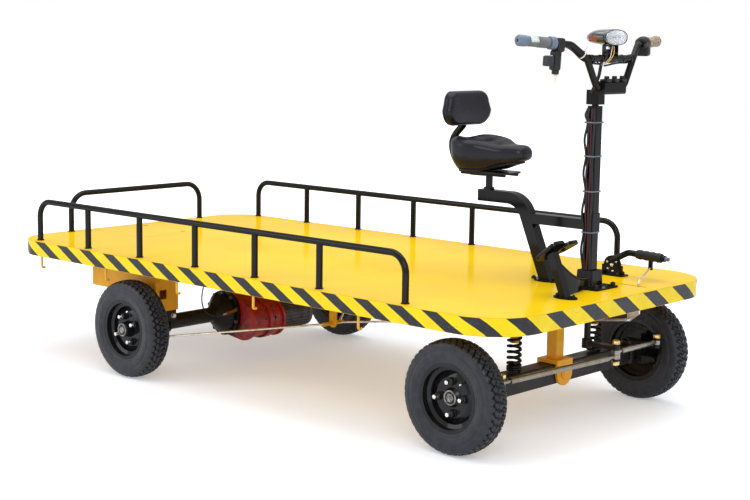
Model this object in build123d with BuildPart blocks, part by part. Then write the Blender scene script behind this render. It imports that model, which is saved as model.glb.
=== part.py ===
from build123d import *
import os
from math import radians, sqrt, tan

# Electric platform cart: a flat deck on four wheels, steered by a handlebar from a driver's saddle.
# X runs forward, Y to the cart's left and Z up. The origin is on the ground below the deck's centre.
# All sizes are in millimetres.

os.makedirs("parts", exist_ok=True)

# Fits
pin_gap = 0.05          # radial running fit of pins, shafts and spindles
seat_gap = 0.3          # between curved faces that seat on one another
open_pivot_gap = 0.6    # radial play at the tie rods' outer pivots
joint_gap = 1.0         # end play beside a turning eye or ear

# Deck and skirt
deck_length = 2440
deck_width = 1220
deck_top = 457
deck_plate_thickness = 4
skirt_height = 58
skirt_thickness = 4
front_corner_radius = 185
rear_corner_radius = 150
deck_edge_round = 2

# Battery hatch in the deck's rear
hatch_length = 312
hatch_width = 480
hatch_rear_margin = 40
hatch_gap = 2.5
hatch_corner = 12
hatch_lip = 18

# Chassis under the deck
chassis_depth = 50
chassis_beam_width = 40
chassis_beam_inset = 150
chassis_end_inset = 15

# Guard rails
rail_radius = 11
rail_rise = 154
rail_bend = 62
side_rail_inset = 28
rear_rail_inset = 25
rear_rail_side_gap = 267
side_rail_rear_inset = 150
side_rail_front_inset = 395
side_rail_bays = 8      # post pitches that fit in the deck's length

# Rope hooks under the skirt
hook_shares = (-0.849, -0.52, -0.188, 0.135, 0.531)     # of half the deck's length
hook_radius = 4.5
hook_drop = 49
hook_foot = 14

# Wheels and tyres
tyre_radius = 181
tyre_width = 90
tyre_wall = 9
bead_radius = 101.5
flange_radius = 111
well_radius = 88
rim_width = 76
rim_wall = 3.5
disc_outset = 12
disc_wall = 5
hub_radius = 31
hub_inset = 28
spindle_radius = 12.5
hub_cap_wall = 6
stud_circle = 100
stud_count = 4
stud_radius = 6
stud_length = 29
nut_radius = 11
nut_height = 12
drum_radius = 75
drum_inset = 50
front_axle_inset = 242
front_wheel_inset = 91
rear_axle_inset = 685
rear_wheel_inset = 47
front_hub_nose = 24
rear_hub_nose = 44

# Front axle
kingpin_inset = 79      # inboard of the tyre's middle
kingpin_radius = 9
beam_size = 66
beam_bottom = 146
beam_end_inset = 52     # inboard of the kingpin
neck_width = 40
boss_radius = 24
boss_half_height = 27
ear_thickness = 13
yoke_width = 60
yoke_thickness = 12
yoke_offset = 30
arm_length = 115
arm_width = 24
arm_thickness = 12
ball_stud_radius = 6

# Front suspension
spring_y = 224
spring_outer_radius = 23
spring_wire_radius = 3.75
spring_pitch = 18.5
guide_radius = 14.5
guide_length = 96
spring_cup_radius = 31
spring_cup_height = 6
pivot_post_size = 40
saddle_length = 85
saddle_plate = 12
saddle_cheek = 8
pivot_pin_radius = 12

# Steering column and linkage
column_inset = 185
column_y = 100
shaft_radius = 11
pitman_bottom = 262
pitman_thickness = 12
pitman_width = 28
eye_radius = 14
eye_height = 14
rod_radius = 9.5
rod_neck_radius = 6
rod_neck_length = 40
column_size = 36
column_top = 1053
column_bore_radius = 14
bush_length = 40
collar_size = 42
collar_bottom = 643
collar_height = 60
boot_size = 68
boot_height = 58
base_plate_length = 150
base_plate_width = 130
base_plate_thickness = 6
sleeve_radius = 18
sleeve_length = 110
head_size = 46
head_bottom = 1058
head_height = 47
clamp_reach = 55
clamp_z = 1114
clamp_size = 42
clamp_width = 122

# Handlebar
bar_radius = 11
bar_foot_half = 60
bar_brace_half = 132
bar_brace_rise = 93
bar_shoulder_half = 190
bar_shoulder_rise = 43
bar_end_half = 390
bar_end_rise = 12
bar_end_sweep = 25
bar_shoulder_reach = 31
bar_bend = 34
brace_radius = 7
grip_radius = 17
grip_length = 128
grip_end_wall = 4
switch_radius = 21
switch_width = 38

# Headlamp
lamp_reach = 75
lamp_rise = 69
lamp_length = 84
lens_half_width = 69
lens_half_height = 27
lens_depth = 14
lamp_back_half_width = 44
lamp_back_half_height = 24
lamp_bracket_width = 44

# Driver's seat
seat_tube_size = 40
seat_arm_overhang = 34
seat_arm_z = 726
seat_elbow_reach = 281
seat_foot_reach = 167
seat_elbow_radius = 82
foot_plate_length = 100
foot_plate_width = 80
foot_plate_thickness = 6
brace_depth = 34
brace_z = 664
seat_post_reach = 428
seat_post_radius = 12.5
seat_post_top = 806
saddle_pan_length = 210
saddle_pan_width = 120
saddle_pan_thickness = 6
saddle_rear_overhang = 127
saddle_nose_overhang = 168
saddle_width = 250
saddle_nose_width = 92
saddle_bottom = 822
saddle_top = 892
saddle_bolster_top = 924
saddle_bolster_inset = 34
saddle_edge = 3
saddle_round = 12
backrest_width = 245
backrest_height = 122
backrest_thickness = 45
backrest_overhang = 107
backrest_z = 1015
backrest_lean = 8
backrest_tube_radius = 12.5

# Rear axle
axle_tube_radius = 29
backing_plate_radius = 78
backing_plate_thickness = 5
backing_plate_gap = 6
banjo_radius = 88
banjo_start = -172
banjo_end = -95
gear_case_left = 72
gear_case_radius = 78
gear_nose_radius = 66
gear_flange_rise = 7
gear_flange_width = 11
case_bolt_radius = 6
left_flange_radius = 42
motor_reach = 95
motor_drop = 26
motor_radius = 54
motor_length = 168
motor_rib_height = 4
motor_rib_count = 24
motor_cap_radius = 36
motor_cap_length = 14

# Rear sub-frame
hanger_beam_width = 50
hanger_beam_bottom = 296
hanger_rear_reach = 335
hanger_front_reach = 45
hanger_wall = 6
riser_length = 90
riser_width = 109
riser_bottom = 235
riser_window = 35
pad_bottom = 195
pad_width = 90
u_bolt_radius = 5

# Batteries
battery_count = 4
battery_length = 224
battery_width = 104
battery_height = 175
battery_spacing = 6
battery_headroom = 12
tray_wall = 3
tray_lip = 40
tray_strap = 40

# Brakes
equalizer_x = -5
equalizer_z = 205
equalizer_y = -37
equalizer_half = 50
equalizer_bar_radius = 7
brake_rod_radius = 4
brake_arm_reach = 105
brake_arm_inset = 75
brake_arm_drop = 27
brake_arm_thickness = 6
brake_slot_y = 228
brake_slot_length = 130
brake_slot_width = 12
brake_rod_inset = 75
brake_link_radius = 3
bellcrank_z = 372
bellcrank_reach = 30
crank_pin = 24

# Handbrake lever
lever_pivot_inset = 270
lever_side_inset = 245
lever_pivot_rise = 35
lever_plate_radius = 34
lever_plate_thickness = 8
lever_foot_length = 110
lever_foot_width = 50
lever_foot_thickness = 5
lever_tube_radius = 11
lever_elbow_reach = 62
lever_elbow_rise = 50
lever_reach = 210
lever_rise = 44
lever_grip_radius = 15
lever_grip_length = 96
lever_button_radius = 7
lever_button_length = 14
lever_lug_reach = 153
lever_lug_rise = 8
lever_lug_width = 14

# Floor pedals
pedal_length = 100
pedal_width = 68
pedal_thickness = 9
pedal_arm_width = 30
pedal_reach = 15
pedal_y = -140
pedal_rise = 140
pedal_foot_reach = 75
foot_rest_side = 60
foot_rest_rise = 103
foot_rest_reach = 23
foot_stay_radius = 8

# Cables on the column, and the hose that hangs to the rear axle
cable_radius = 4
cable_pitch = 9
cable_strap_width = 34
cable_strap_depth = 11
cable_strap_height = 7
cable_strap_drops = (110, 230)
hose_radius = 2.5
hose_fitting_radius = 4.5
hose_fitting_length = 57

# Values that follow from the ones above
deck_underside = deck_top - deck_plate_thickness
skirt_bottom = deck_top - skirt_height
chassis_bottom = deck_underside - chassis_depth
axle_z = tyre_radius
chassis_beam_y = deck_width / 2 - chassis_beam_inset
hatch_front = hatch_rear_margin + hatch_length - deck_length / 2
side_rail_y = deck_width / 2 - side_rail_inset
rear_rail_x = rear_rail_inset - deck_length / 2
rear_rail_half = deck_width / 2 - rear_rail_side_gap
side_rail_rear = side_rail_rear_inset - deck_length / 2
side_rail_front = deck_length / 2 - side_rail_front_inset
side_rail_posts = [side_rail_rear + k * deck_length / side_rail_bays for k in range(side_rail_bays - 2)]
side_rail_posts.append(side_rail_front)
hook_stations = [share * deck_length / 2 for share in hook_shares]
front_axle_x = deck_length / 2 - front_axle_inset
front_track_half = deck_width / 2 - front_wheel_inset
rear_axle_x = rear_axle_inset - deck_length / 2
rear_track_half = deck_width / 2 - rear_wheel_inset
kingpin_y = front_track_half - kingpin_inset
beam_half = kingpin_y - beam_end_inset
column_x = deck_length / 2 - column_inset
clamp_x = column_x + clamp_reach
bar_brace_z = clamp_z + bar_brace_rise
bar_shoulder_z = bar_brace_z + bar_shoulder_rise
bar_end_z = bar_shoulder_z + bar_end_rise
bar_end_x = column_x - bar_end_sweep
bar_shoulder_x = column_x + bar_shoulder_reach
lamp_x = column_x + lamp_reach
lamp_z = bar_brace_z + lamp_rise
seat_post_x = column_x - seat_post_reach
seat_arm_rear = seat_post_x - seat_arm_overhang
seat_elbow_x = column_x - seat_elbow_reach
seat_foot_x = column_x - seat_foot_reach
saddle_rear = seat_post_x - saddle_rear_overhang
saddle_nose = seat_post_x + saddle_nose_overhang
backrest_x = seat_post_x - backrest_overhang
motor_x = rear_axle_x + motor_reach
motor_z = axle_z - motor_drop
hanger_beam_rear = rear_axle_x - hanger_rear_reach
hanger_front = rear_axle_x + hanger_front_reach
brake_arm_x = rear_axle_x + brake_arm_reach
brake_arm_y = rear_track_half - brake_arm_inset
brake_arm_z = axle_z - brake_arm_drop
brake_rod_x = deck_length / 2 - brake_rod_inset
lever_pivot_x = deck_length / 2 - lever_pivot_inset
lever_y = deck_width / 2 - lever_side_inset
lever_pivot_z = deck_top + lever_pivot_rise
lever_lug_x = lever_pivot_x + lever_lug_reach
lever_lug_z = lever_pivot_z + lever_lug_rise
beam_top = beam_bottom + beam_size
boss_top = axle_z + boss_half_height
boss_bottom = axle_z - boss_half_height
ear_top = boss_top + joint_gap / 2 + ear_thickness
knuckle_eye_z = ear_top + joint_gap + eye_height / 2
left_eye_z = pitman_bottom - joint_gap - eye_height / 2
right_eye_z = left_eye_z - joint_gap - eye_height
pitman_x = column_x + arm_length
knuckle_ball_x = front_axle_x + arm_length
hatch_x = hatch_front - hatch_length / 2


def deck_outline(height, inset):
    """Plan of the deck with its corners rounded, drawn in by an inset, at one height."""
    with BuildSketch(Plane.XY.offset(height)) as outline:
        Rectangle(deck_length - 2 * inset, deck_width - 2 * inset)
        fillet(outline.vertices().group_by(Axis.X)[-1], front_corner_radius - inset)
        fillet(outline.vertices().group_by(Axis.X)[0], rear_corner_radius - inset)
    return outline.sketch


def round_rod(start, end, radius, mode=Mode.ADD):
    """Straight round rod between two points, added to the open part or cut from it."""
    run = Vector(*end) - Vector(*start)
    with BuildSketch(Plane(origin=start, z_dir=run)) as section:
        Circle(radius)
    extrude(section.sketch, amount=run.length, mode=mode)


def largest_bends(points):
    """The largest radius that each corner of a route leaves room for."""
    radii = []
    for before, corner, after in zip(points, points[1:], points[2:]):
        run_in = Vector(corner) - Vector(before)
        run_out = Vector(after) - Vector(corner)
        half_turn = radians(run_in.get_angle(run_out) / 2)
        radii.append(0.45 * min(run_in.length, run_out.length) / tan(half_turn))
    return radii


def bent_tube(points, radius, bend):
    """Round tube along straight runs joined by arcs, added to the open part.

    bend is one radius for every corner, or a list with one for each.
    """
    with BuildLine() as route:
        FilletPolyline(*points, radius=bend)
    with BuildSketch(Plane(origin=route.line @ 0, z_dir=route.line % 0)) as section:
        Circle(radius)
    sweep(section.sketch, path=route.line)


# Deck plate, with the hatch opening and the holes for the column and the brake rod
with BuildPart() as deck_plate:
    extrude(deck_outline(deck_underside, 0), amount=deck_plate_thickness)
    fillet(deck_plate.faces().sort_by(Axis.Z)[-1].outer_wire().edges(), deck_edge_round)
    with BuildSketch(Plane.XY.offset(deck_top)):
        with Locations((hatch_x, 0)):
            RectangleRounded(hatch_length + 2 * hatch_gap, hatch_width + 2 * hatch_gap, hatch_corner)
        with Locations((column_x, column_y)):
            Circle(sleeve_radius + seat_gap)
        with Locations((brake_rod_x - brake_slot_length / 4, brake_slot_y)):
            SlotOverall(brake_slot_length, brake_slot_width)
    extrude(amount=-deck_plate_thickness, mode=Mode.SUBTRACT)
deck_plate.part.label = "deck_plate"
export_step(deck_plate.part, "parts/deck_plate.step")

# Loose plate over the battery bay, with two finger holes
with BuildPart() as deck_hatch:
    with BuildSketch(Plane.XY.offset(deck_underside)):
        with Locations((hatch_x, 0)):
            RectangleRounded(hatch_length, hatch_width, hatch_corner - hatch_gap)
            with GridLocations(hatch_length - 70, 0, 2, 1):
                Circle(11, mode=Mode.SUBTRACT)
    extrude(amount=deck_plate_thickness)
deck_hatch.part.label = "deck_hatch"
export_step(deck_hatch.part, "parts/deck_hatch.step")

# Skirt band below the plate's edge
with BuildPart() as deck_skirt:
    extrude(deck_outline(skirt_bottom, 0), amount=skirt_height - deck_plate_thickness)
    extrude(deck_outline(skirt_bottom, skirt_thickness), amount=skirt_height - deck_plate_thickness,
            mode=Mode.SUBTRACT)
deck_skirt.part.label = "deck_skirt"
export_step(deck_skirt.part, "parts/deck_skirt.step")

# Frame under the deck: two long box rails
chassis_half_length = deck_length / 2 - chassis_end_inset
with BuildPart() as chassis_rails:
    with BuildSketch(Plane.XY.offset(chassis_bottom)):
        with Locations((0, chassis_beam_y), (0, -chassis_beam_y)):
            Rectangle(2 * chassis_half_length, chassis_beam_width)
    extrude(amount=chassis_depth)
chassis_rails.part.label = "chassis_rails"
export_step(chassis_rails.part, "parts/chassis_rails.step")

# Cross members between the rails, and outriggers that carry some of them on out to the skirt
# x position, length along X, whether it has outriggers
member_end_x = chassis_half_length - chassis_beam_width / 2
hatch_member_x = hatch_front + hatch_gap + chassis_beam_width / 2
cross_members = [
    (member_end_x, chassis_beam_width, False),
    (front_axle_x, 70, True),
    (equalizer_x, chassis_beam_width, False),
    (hatch_member_x, chassis_beam_width, False),
    (-member_end_x, chassis_beam_width, False),
]
for hook_x in hook_stations[1:]:
    beside_hook = hook_x + hook_radius + seat_gap + chassis_beam_width / 2
    cross_members.append((beside_hook, chassis_beam_width, True))
rail_inner = chassis_beam_y - chassis_beam_width / 2
rail_outer = chassis_beam_y + chassis_beam_width / 2
skirt_inside = deck_width / 2 - skirt_thickness
with BuildPart() as cross_frame:
    with BuildSketch(Plane.XY.offset(chassis_bottom)):
        for x, length, has_outriggers in cross_members:
            with Locations((x, 0)):
                Rectangle(length, 2 * rail_inner)
            if has_outriggers:
                with Locations((x, (rail_outer + skirt_inside) / 2), (x, -(rail_outer + skirt_inside) / 2)):
                    Rectangle(length, skirt_inside - rail_outer)
    extrude(amount=chassis_depth)
cross_frame.part.label = "cross_frame"
export_step(cross_frame.part, "parts/cross_frame.step")

# Ledge round the hatch: a bar along each side and one across the front
ledge_front = hatch_member_x - chassis_beam_width / 2
ledge_rear = chassis_beam_width / 2 - member_end_x
ledge_inner_y = hatch_width / 2 - hatch_lip
with BuildPart() as hatch_ledge:
    with BuildSketch(Plane.XY.offset(chassis_bottom)):
        for side in (1, -1):
            with Locations(((ledge_front + ledge_rear) / 2, side * hatch_width / 2)):
                Rectangle(ledge_front - ledge_rear, 2 * hatch_lip)
        with Locations((ledge_front - hatch_lip / 2, 0)):
            Rectangle(hatch_lip, 2 * ledge_inner_y)
    extrude(amount=chassis_depth)
hatch_ledge.part.label = "hatch_ledge"
export_step(hatch_ledge.part, "parts/hatch_ledge.step")

# Rope hooks: short rods on the inside of the skirt, their feet turned inwards
hook_y = deck_width / 2 - skirt_thickness - hook_radius
hook_bottom = skirt_bottom - hook_drop + hook_radius
with BuildPart() as rope_hooks:
    for x in hook_stations:
        for side in (1, -1):
            bent_tube(
                [(x, side * hook_y, skirt_bottom + 0.6 * skirt_height),
                 (x, side * hook_y, hook_bottom),
                 (x, side * (hook_y - hook_foot), hook_bottom)],
                hook_radius, 1.6 * hook_radius)
rope_hooks.part.label = "rope_hooks"
export_step(rope_hooks.part, "parts/rope_hooks.step")

# Guard rails: a bent top tube on upright posts
rail_z = deck_top + rail_rise
for name, side in (("left", 1), ("right", -1)):
    with BuildPart() as side_rail:
        y = side * side_rail_y
        bent_tube(
            [(side_rail_posts[0], y, deck_top), (side_rail_posts[0], y, rail_z),
             (side_rail_posts[-1], y, rail_z), (side_rail_posts[-1], y, deck_top)],
            rail_radius, rail_bend)
        for x in side_rail_posts[1:-1]:
            round_rod((x, y, deck_top), (x, y, rail_z), rail_radius)
    side_rail.part.label = f"side_rail_{name}"
    export_step(side_rail.part, f"parts/side_rail_{name}.step")

with BuildPart() as rear_rail:
    bent_tube(
        [(rear_rail_x, -rear_rail_half, deck_top), (rear_rail_x, -rear_rail_half, rail_z),
         (rear_rail_x, rear_rail_half, rail_z), (rear_rail_x, rear_rail_half, deck_top)],
        rail_radius, rail_bend + rail_radius)
rear_rail.part.label = "rear_rail"
export_step(rear_rail.part, "parts/rear_rail.step")

# Wheels and tyres. Across the wheel, w runs outboard from the rim's centre and r out from the axle.
# name, x, half track, side, how far the hub stands out, angle of the first stud, whether it has a brake drum
wheel_table = [
    ("front_left", front_axle_x, front_track_half, 1, front_hub_nose, 3, False),
    ("front_right", front_axle_x, front_track_half, -1, front_hub_nose, 3, False),
    ("rear_left", rear_axle_x, rear_track_half, 1, rear_hub_nose, 27, True),
    ("rear_right", rear_axle_x, rear_track_half, -1, rear_hub_nose, 27, True),
]
lip = rim_width / 2
for name, x, half_track, side, nose, stud_turn, has_drum in wheel_table:
    across = Plane(origin=(x, side * half_track, axle_z), x_dir=(0, side, 0), z_dir=(side, 0, 0))
    axle_line = Axis((x, 0, axle_z), (0, 1, 0))
    disc_face = Plane(origin=(x, side * (half_track + disc_outset), axle_z), x_dir=(1, 0, 0),
                      z_dir=(0, side, 0))

    with BuildPart() as tyre:
        with BuildSketch(across) as carcass:
            with BuildLine():
                foot = lip - rim_wall - seat_gap
                heel_r = bead_radius + seat_gap
                side_r = 0.5 * (bead_radius + tyre_radius) + 4
                shoulder_w, shoulder_r = 0.43 * tyre_width, tyre_radius - 9
                ThreePointArc((-shoulder_w, shoulder_r), (0, tyre_radius), (shoulder_w, shoulder_r))
                ThreePointArc((shoulder_w, shoulder_r), (tyre_width / 2, side_r), (foot, heel_r + 11))
                Polyline((foot, heel_r + 11), (foot, heel_r), (foot - 11, heel_r))
                ThreePointArc((foot - 11, heel_r), (tyre_width / 2 - tyre_wall, side_r),
                              (shoulder_w - tyre_wall, shoulder_r - 0.6 * tyre_wall))
                ThreePointArc((shoulder_w - tyre_wall, shoulder_r - 0.6 * tyre_wall),
                              (0, tyre_radius - 1.3 * tyre_wall),
                              (tyre_wall - shoulder_w, shoulder_r - 0.6 * tyre_wall))
                ThreePointArc((tyre_wall - shoulder_w, shoulder_r - 0.6 * tyre_wall),
                              (tyre_wall - tyre_width / 2, side_r), (11 - foot, heel_r))
                Polyline((11 - foot, heel_r), (-foot, heel_r), (-foot, heel_r + 11))
                ThreePointArc((-foot, heel_r + 11), (-tyre_width / 2, side_r), (-shoulder_w, shoulder_r))
            make_face()
        revolve(axis=axle_line)
    tyre.part.label = f"tyre_{name}"
    export_step(tyre.part, f"parts/tyre_{name}.step")

    with BuildPart() as wheel:
        with BuildSketch(across):
            with BuildLine():
                Polyline(
                    (lip, flange_radius), (lip - rim_wall, flange_radius), (lip - rim_wall, bead_radius),
                    (0.5 * lip, bead_radius - 1.5), (0.37 * lip, well_radius),
                    (-0.37 * lip, well_radius), (-0.5 * lip, bead_radius - 1.5),
                    (rim_wall - lip, bead_radius), (rim_wall - lip, flange_radius), (-lip, flange_radius),
                    (-lip, bead_radius - rim_wall), (-0.5 * lip, bead_radius - 1.5 - rim_wall),
                    (-0.37 * lip, well_radius - rim_wall), (0.37 * lip, well_radius - rim_wall),
                    (0.5 * lip, bead_radius - 1.5 - rim_wall), (lip, bead_radius - rim_wall), close=True)
            make_face()
            with BuildLine():
                Polyline(
                    (disc_outset, hub_radius), (disc_outset, 0.72 * well_radius),
                    (disc_outset - 10, well_radius - rim_wall),
                    (disc_outset - 10 - disc_wall, well_radius - rim_wall),
                    (disc_outset - disc_wall, 0.72 * well_radius - 4),
                    (disc_outset - disc_wall, hub_radius), close=True)
            make_face()
            with BuildLine():
                Polyline(
                    (-hub_inset, 0), (nose, 0), (nose, 0.62 * hub_radius), (nose - 6, 0.8 * hub_radius),
                    (disc_outset, hub_radius), (-hub_inset, hub_radius), close=True)
            make_face()
        revolve(axis=axle_line)
        with BuildSketch(across):
            with BuildLine():
                Polyline(
                    (-hub_inset, 0), (nose - hub_cap_wall, 0),
                    (nose - hub_cap_wall, spindle_radius + pin_gap),
                    (-hub_inset, spindle_radius + pin_gap), close=True)
            make_face()
        revolve(axis=axle_line, mode=Mode.SUBTRACT)
        with BuildSketch(disc_face):
            with PolarLocations(stud_circle / 2, stud_count, stud_turn):
                RegularPolygon(nut_radius, 6)
        extrude(amount=nut_height)
        with BuildSketch(disc_face):
            with PolarLocations(stud_circle / 2, stud_count, stud_turn):
                Circle(stud_radius)
        extrude(amount=stud_length)
        if has_drum:
            with BuildSketch(across):
                with BuildLine():
                    Polyline(
                        (disc_outset - disc_wall, hub_radius - 1), (disc_outset - disc_wall, drum_radius - 8),
                        (0, drum_radius), (-drum_inset, drum_radius), (-drum_inset, drum_radius - 8),
                        (-10, drum_radius - 8), (-10, hub_radius - 1), close=True)
                make_face()
            revolve(axis=axle_line)
    wheel.part.label = f"wheel_{name}"
    export_step(wheel.part, f"parts/wheel_{name}.step")

# Front axle beam: a square bar necked down to a kingpin boss at each end
pivot_z = beam_bottom + beam_size / 2
with BuildPart() as front_axle_beam:
    with BuildSketch(Plane.XY.offset(beam_bottom)):
        with Locations((front_axle_x, 0)):
            Rectangle(beam_size, 2 * beam_half)
    extrude(amount=beam_size)
    fillet(front_axle_beam.edges().filter_by(Axis.Y), 6)
    with BuildSketch(Plane.XY.offset(boss_bottom)):
        with Locations((front_axle_x, 0)):
            Rectangle(neck_width, 2 * kingpin_y)
        with Locations((front_axle_x, kingpin_y), (front_axle_x, -kingpin_y)):
            Circle(boss_radius)
    extrude(amount=2 * boss_half_height)
    with BuildSketch(Plane.XY.offset(boss_bottom)):
        with Locations((front_axle_x, kingpin_y), (front_axle_x, -kingpin_y)):
            Circle(kingpin_radius + pin_gap)
    extrude(amount=2 * boss_half_height, mode=Mode.SUBTRACT)
    with BuildSketch(Plane.YZ.offset(front_axle_x - beam_size)):
        with Locations((0, pivot_z)):
            Circle(pivot_pin_radius + seat_gap)
    extrude(amount=2 * beam_size, mode=Mode.SUBTRACT)
front_axle_beam.part.label = "front_axle_beam"
export_step(front_axle_beam.part, "parts/front_axle_beam.step")

# Knuckles: a fork round the beam's boss, with the kingpin, the wheel spindle and the steering arm
for name, side in (("left", 1), ("right", -1)):
    pin_y = side * kingpin_y
    plate_y = side * (kingpin_y + yoke_offset)
    ear_reach = yoke_offset + yoke_thickness
    with BuildPart() as knuckle:
        for bottom in (boss_top + joint_gap / 2, boss_bottom - joint_gap / 2 - ear_thickness):
            with BuildSketch(Plane.XY.offset(bottom)):
                with Locations((front_axle_x, pin_y)):
                    Circle(boss_radius)
                with Locations((front_axle_x, pin_y + side * ear_reach / 2)):
                    Rectangle(2 * boss_radius, ear_reach)
            extrude(amount=ear_thickness)
        with BuildSketch(Plane.XY.offset(boss_bottom - joint_gap / 2 - ear_thickness)):
            with Locations((front_axle_x, plate_y + side * yoke_thickness / 2)):
                Rectangle(yoke_width, yoke_thickness)
        extrude(amount=2 * boss_half_height + joint_gap + 2 * ear_thickness)
        round_rod((front_axle_x, pin_y, boss_bottom - ear_thickness - 2),
                  (front_axle_x, pin_y, ear_top + 6), kingpin_radius)
        spindle_start = kingpin_y + ear_reach
        spindle_end = front_track_half + front_hub_nose - hub_cap_wall - joint_gap
        round_rod((front_axle_x, side * (spindle_start - yoke_thickness / 2), axle_z),
                  (front_axle_x, side * (spindle_start + 4), axle_z), 1.7 * spindle_radius)
        round_rod((front_axle_x, side * spindle_start, axle_z),
                  (front_axle_x, side * spindle_end, axle_z), spindle_radius)
        with BuildSketch(Plane.XY.offset(ear_top - arm_thickness)):
            with Locations((front_axle_x + arm_length / 2, pin_y)):
                Rectangle(arm_length, arm_width)
            with Locations((knuckle_ball_x, pin_y)):
                Circle(arm_width / 2)
        extrude(amount=arm_thickness)
        round_rod((knuckle_ball_x, pin_y, ear_top - arm_thickness),
                  (knuckle_ball_x, pin_y, ear_top + 2 * joint_gap + eye_height + 7), ball_stud_radius)
        round_rod((knuckle_ball_x, pin_y, ear_top + 2 * joint_gap + eye_height),
                  (knuckle_ball_x, pin_y, ear_top + 2 * joint_gap + eye_height + 6), 0.7 * eye_radius)
    knuckle.part.label = f"knuckle_{name}"
    export_step(knuckle.part, f"parts/knuckle_{name}.step")

# Tie rods: a tube with a threaded neck and an eye at each end
# name, side, height of the eye on the pitman arm
for name, side, inner_eye_z in (("left", 1, left_eye_z), ("right", -1, right_eye_z)):
    inner = Vector(pitman_x, column_y, inner_eye_z)
    outer = Vector(knuckle_ball_x, side * kingpin_y, knuckle_eye_z)
    along = (outer - inner).normalized()
    with BuildPart() as tie_rod:
        round_rod(inner + along * rod_neck_length, outer - along * rod_neck_length, rod_radius)
        round_rod(inner + along * (eye_radius - 3), outer - along * (eye_radius - 3), rod_neck_radius)
        for end, play in ((inner, pin_gap), (outer, open_pivot_gap)):
            with BuildSketch(Plane.XY.offset(end.Z - eye_height / 2)):
                with Locations((end.X, end.Y)):
                    Circle(eye_radius)
            extrude(amount=eye_height)
            with BuildSketch(Plane.XY.offset(end.Z - eye_height / 2)):
                with Locations((end.X, end.Y)):
                    Circle(ball_stud_radius + play)
            extrude(amount=eye_height, mode=Mode.SUBTRACT)
    tie_rod.part.label = f"tie_rod_{name}"
    export_step(tie_rod.part, f"parts/tie_rod_{name}.step")

# Pivot post: a square tube down from the frame to a saddle that straddles the front axle beam
saddle_width_x = beam_size + 2 * (saddle_cheek + seat_gap)
with BuildPart() as front_pivot_post:
    with BuildSketch(Plane.XY.offset(beam_top + seat_gap)):
        with Locations((front_axle_x, 0)):
            Rectangle(saddle_width_x, saddle_length)
    extrude(amount=saddle_plate)
    with BuildSketch(Plane.XY.offset(beam_top + seat_gap)):
        with Locations((front_axle_x, 0)):
            Rectangle(pivot_post_size, pivot_post_size)
    extrude(amount=chassis_bottom - beam_top - seat_gap)
    for end in (1, -1):
        cheek_x = front_axle_x + end * (saddle_width_x - saddle_cheek) / 2
        with BuildSketch(Plane.YZ.offset(cheek_x - saddle_cheek / 2)):
            with Locations((0, pivot_z)):
                Circle(saddle_length / 2)
            with Locations((0, (pivot_z + beam_top + seat_gap) / 2)):
                Rectangle(saddle_length, beam_top + seat_gap - pivot_z)
        extrude(amount=saddle_cheek)
    round_rod((front_axle_x - saddle_width_x / 2 - 7, 0, pivot_z),
              (front_axle_x + saddle_width_x / 2 + 7, 0, pivot_z), pivot_pin_radius)
    round_rod((front_axle_x + saddle_width_x / 2, 0, pivot_z),
              (front_axle_x + saddle_width_x / 2 + 5, 0, pivot_z), 1.7 * pivot_pin_radius)
front_pivot_post.part.label = "front_pivot_post"
export_step(front_pivot_post.part, "parts/front_pivot_post.step")

# Spring guides: a cup under the frame with a tube down inside each coil spring
with BuildPart() as spring_guides:
    for side in (1, -1):
        round_rod((front_axle_x, side * spring_y, chassis_bottom - spring_cup_height),
                  (front_axle_x, side * spring_y, chassis_bottom), spring_cup_radius)
        round_rod((front_axle_x, side * spring_y, chassis_bottom - guide_length),
                  (front_axle_x, side * spring_y, chassis_bottom), guide_radius)
spring_guides.part.label = "spring_guides"
export_step(spring_guides.part, "parts/spring_guides.step")

# Coil springs between the axle beam and the guides' cups: a round wire carried up a helix
spring_radius = spring_outer_radius - spring_wire_radius
spring_start = beam_top + spring_wire_radius + seat_gap
spring_rise = chassis_bottom - spring_cup_height - spring_wire_radius - seat_gap - spring_start
for name, side in (("left", 1), ("right", -1)):
    with BuildPart() as spring:
        with BuildLine():
            coil = Helix(pitch=spring_pitch, height=spring_rise, radius=spring_radius,
                         center=(front_axle_x, side * spring_y, spring_start))
        with BuildSketch(Plane(origin=coil @ 0, z_dir=coil % 0)) as wire:
            Circle(spring_wire_radius)
        sweep(wire.sketch, path=coil, is_frenet=True)
    spring.part.label = f"front_spring_{name}"
    export_step(spring.part, f"parts/front_spring_{name}.step")

# Column base: floor plate, boot and the bearing sleeve that runs down below the deck
with BuildPart() as column_base:
    with BuildSketch(Plane.XY.offset(deck_top)):
        with Locations((column_x, column_y)):
            RectangleRounded(base_plate_length, base_plate_width, 10)
    extrude(amount=base_plate_thickness)
    with BuildSketch(Plane.XY.offset(deck_top)):
        with Locations((column_x, column_y)):
            RectangleRounded(boot_size, boot_size, 8)
    extrude(amount=boot_height, taper=4)
    round_rod((column_x, column_y, deck_top - sleeve_length), (column_x, column_y, deck_top), sleeve_radius)
    with BuildSketch(Plane.XY.offset(deck_top - sleeve_length)):
        with Locations((column_x, column_y)):
            Circle(shaft_radius + pin_gap)
    extrude(amount=sleeve_length + base_plate_thickness, mode=Mode.SUBTRACT)
    with BuildSketch(Plane.XY.offset(deck_top + base_plate_thickness)):
        with Locations((column_x, column_y)):
            Rectangle(column_size, column_size)
    extrude(amount=boot_height, mode=Mode.SUBTRACT)
column_base.part.label = "column_base"
export_step(column_base.part, "parts/column_base.step")

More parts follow.
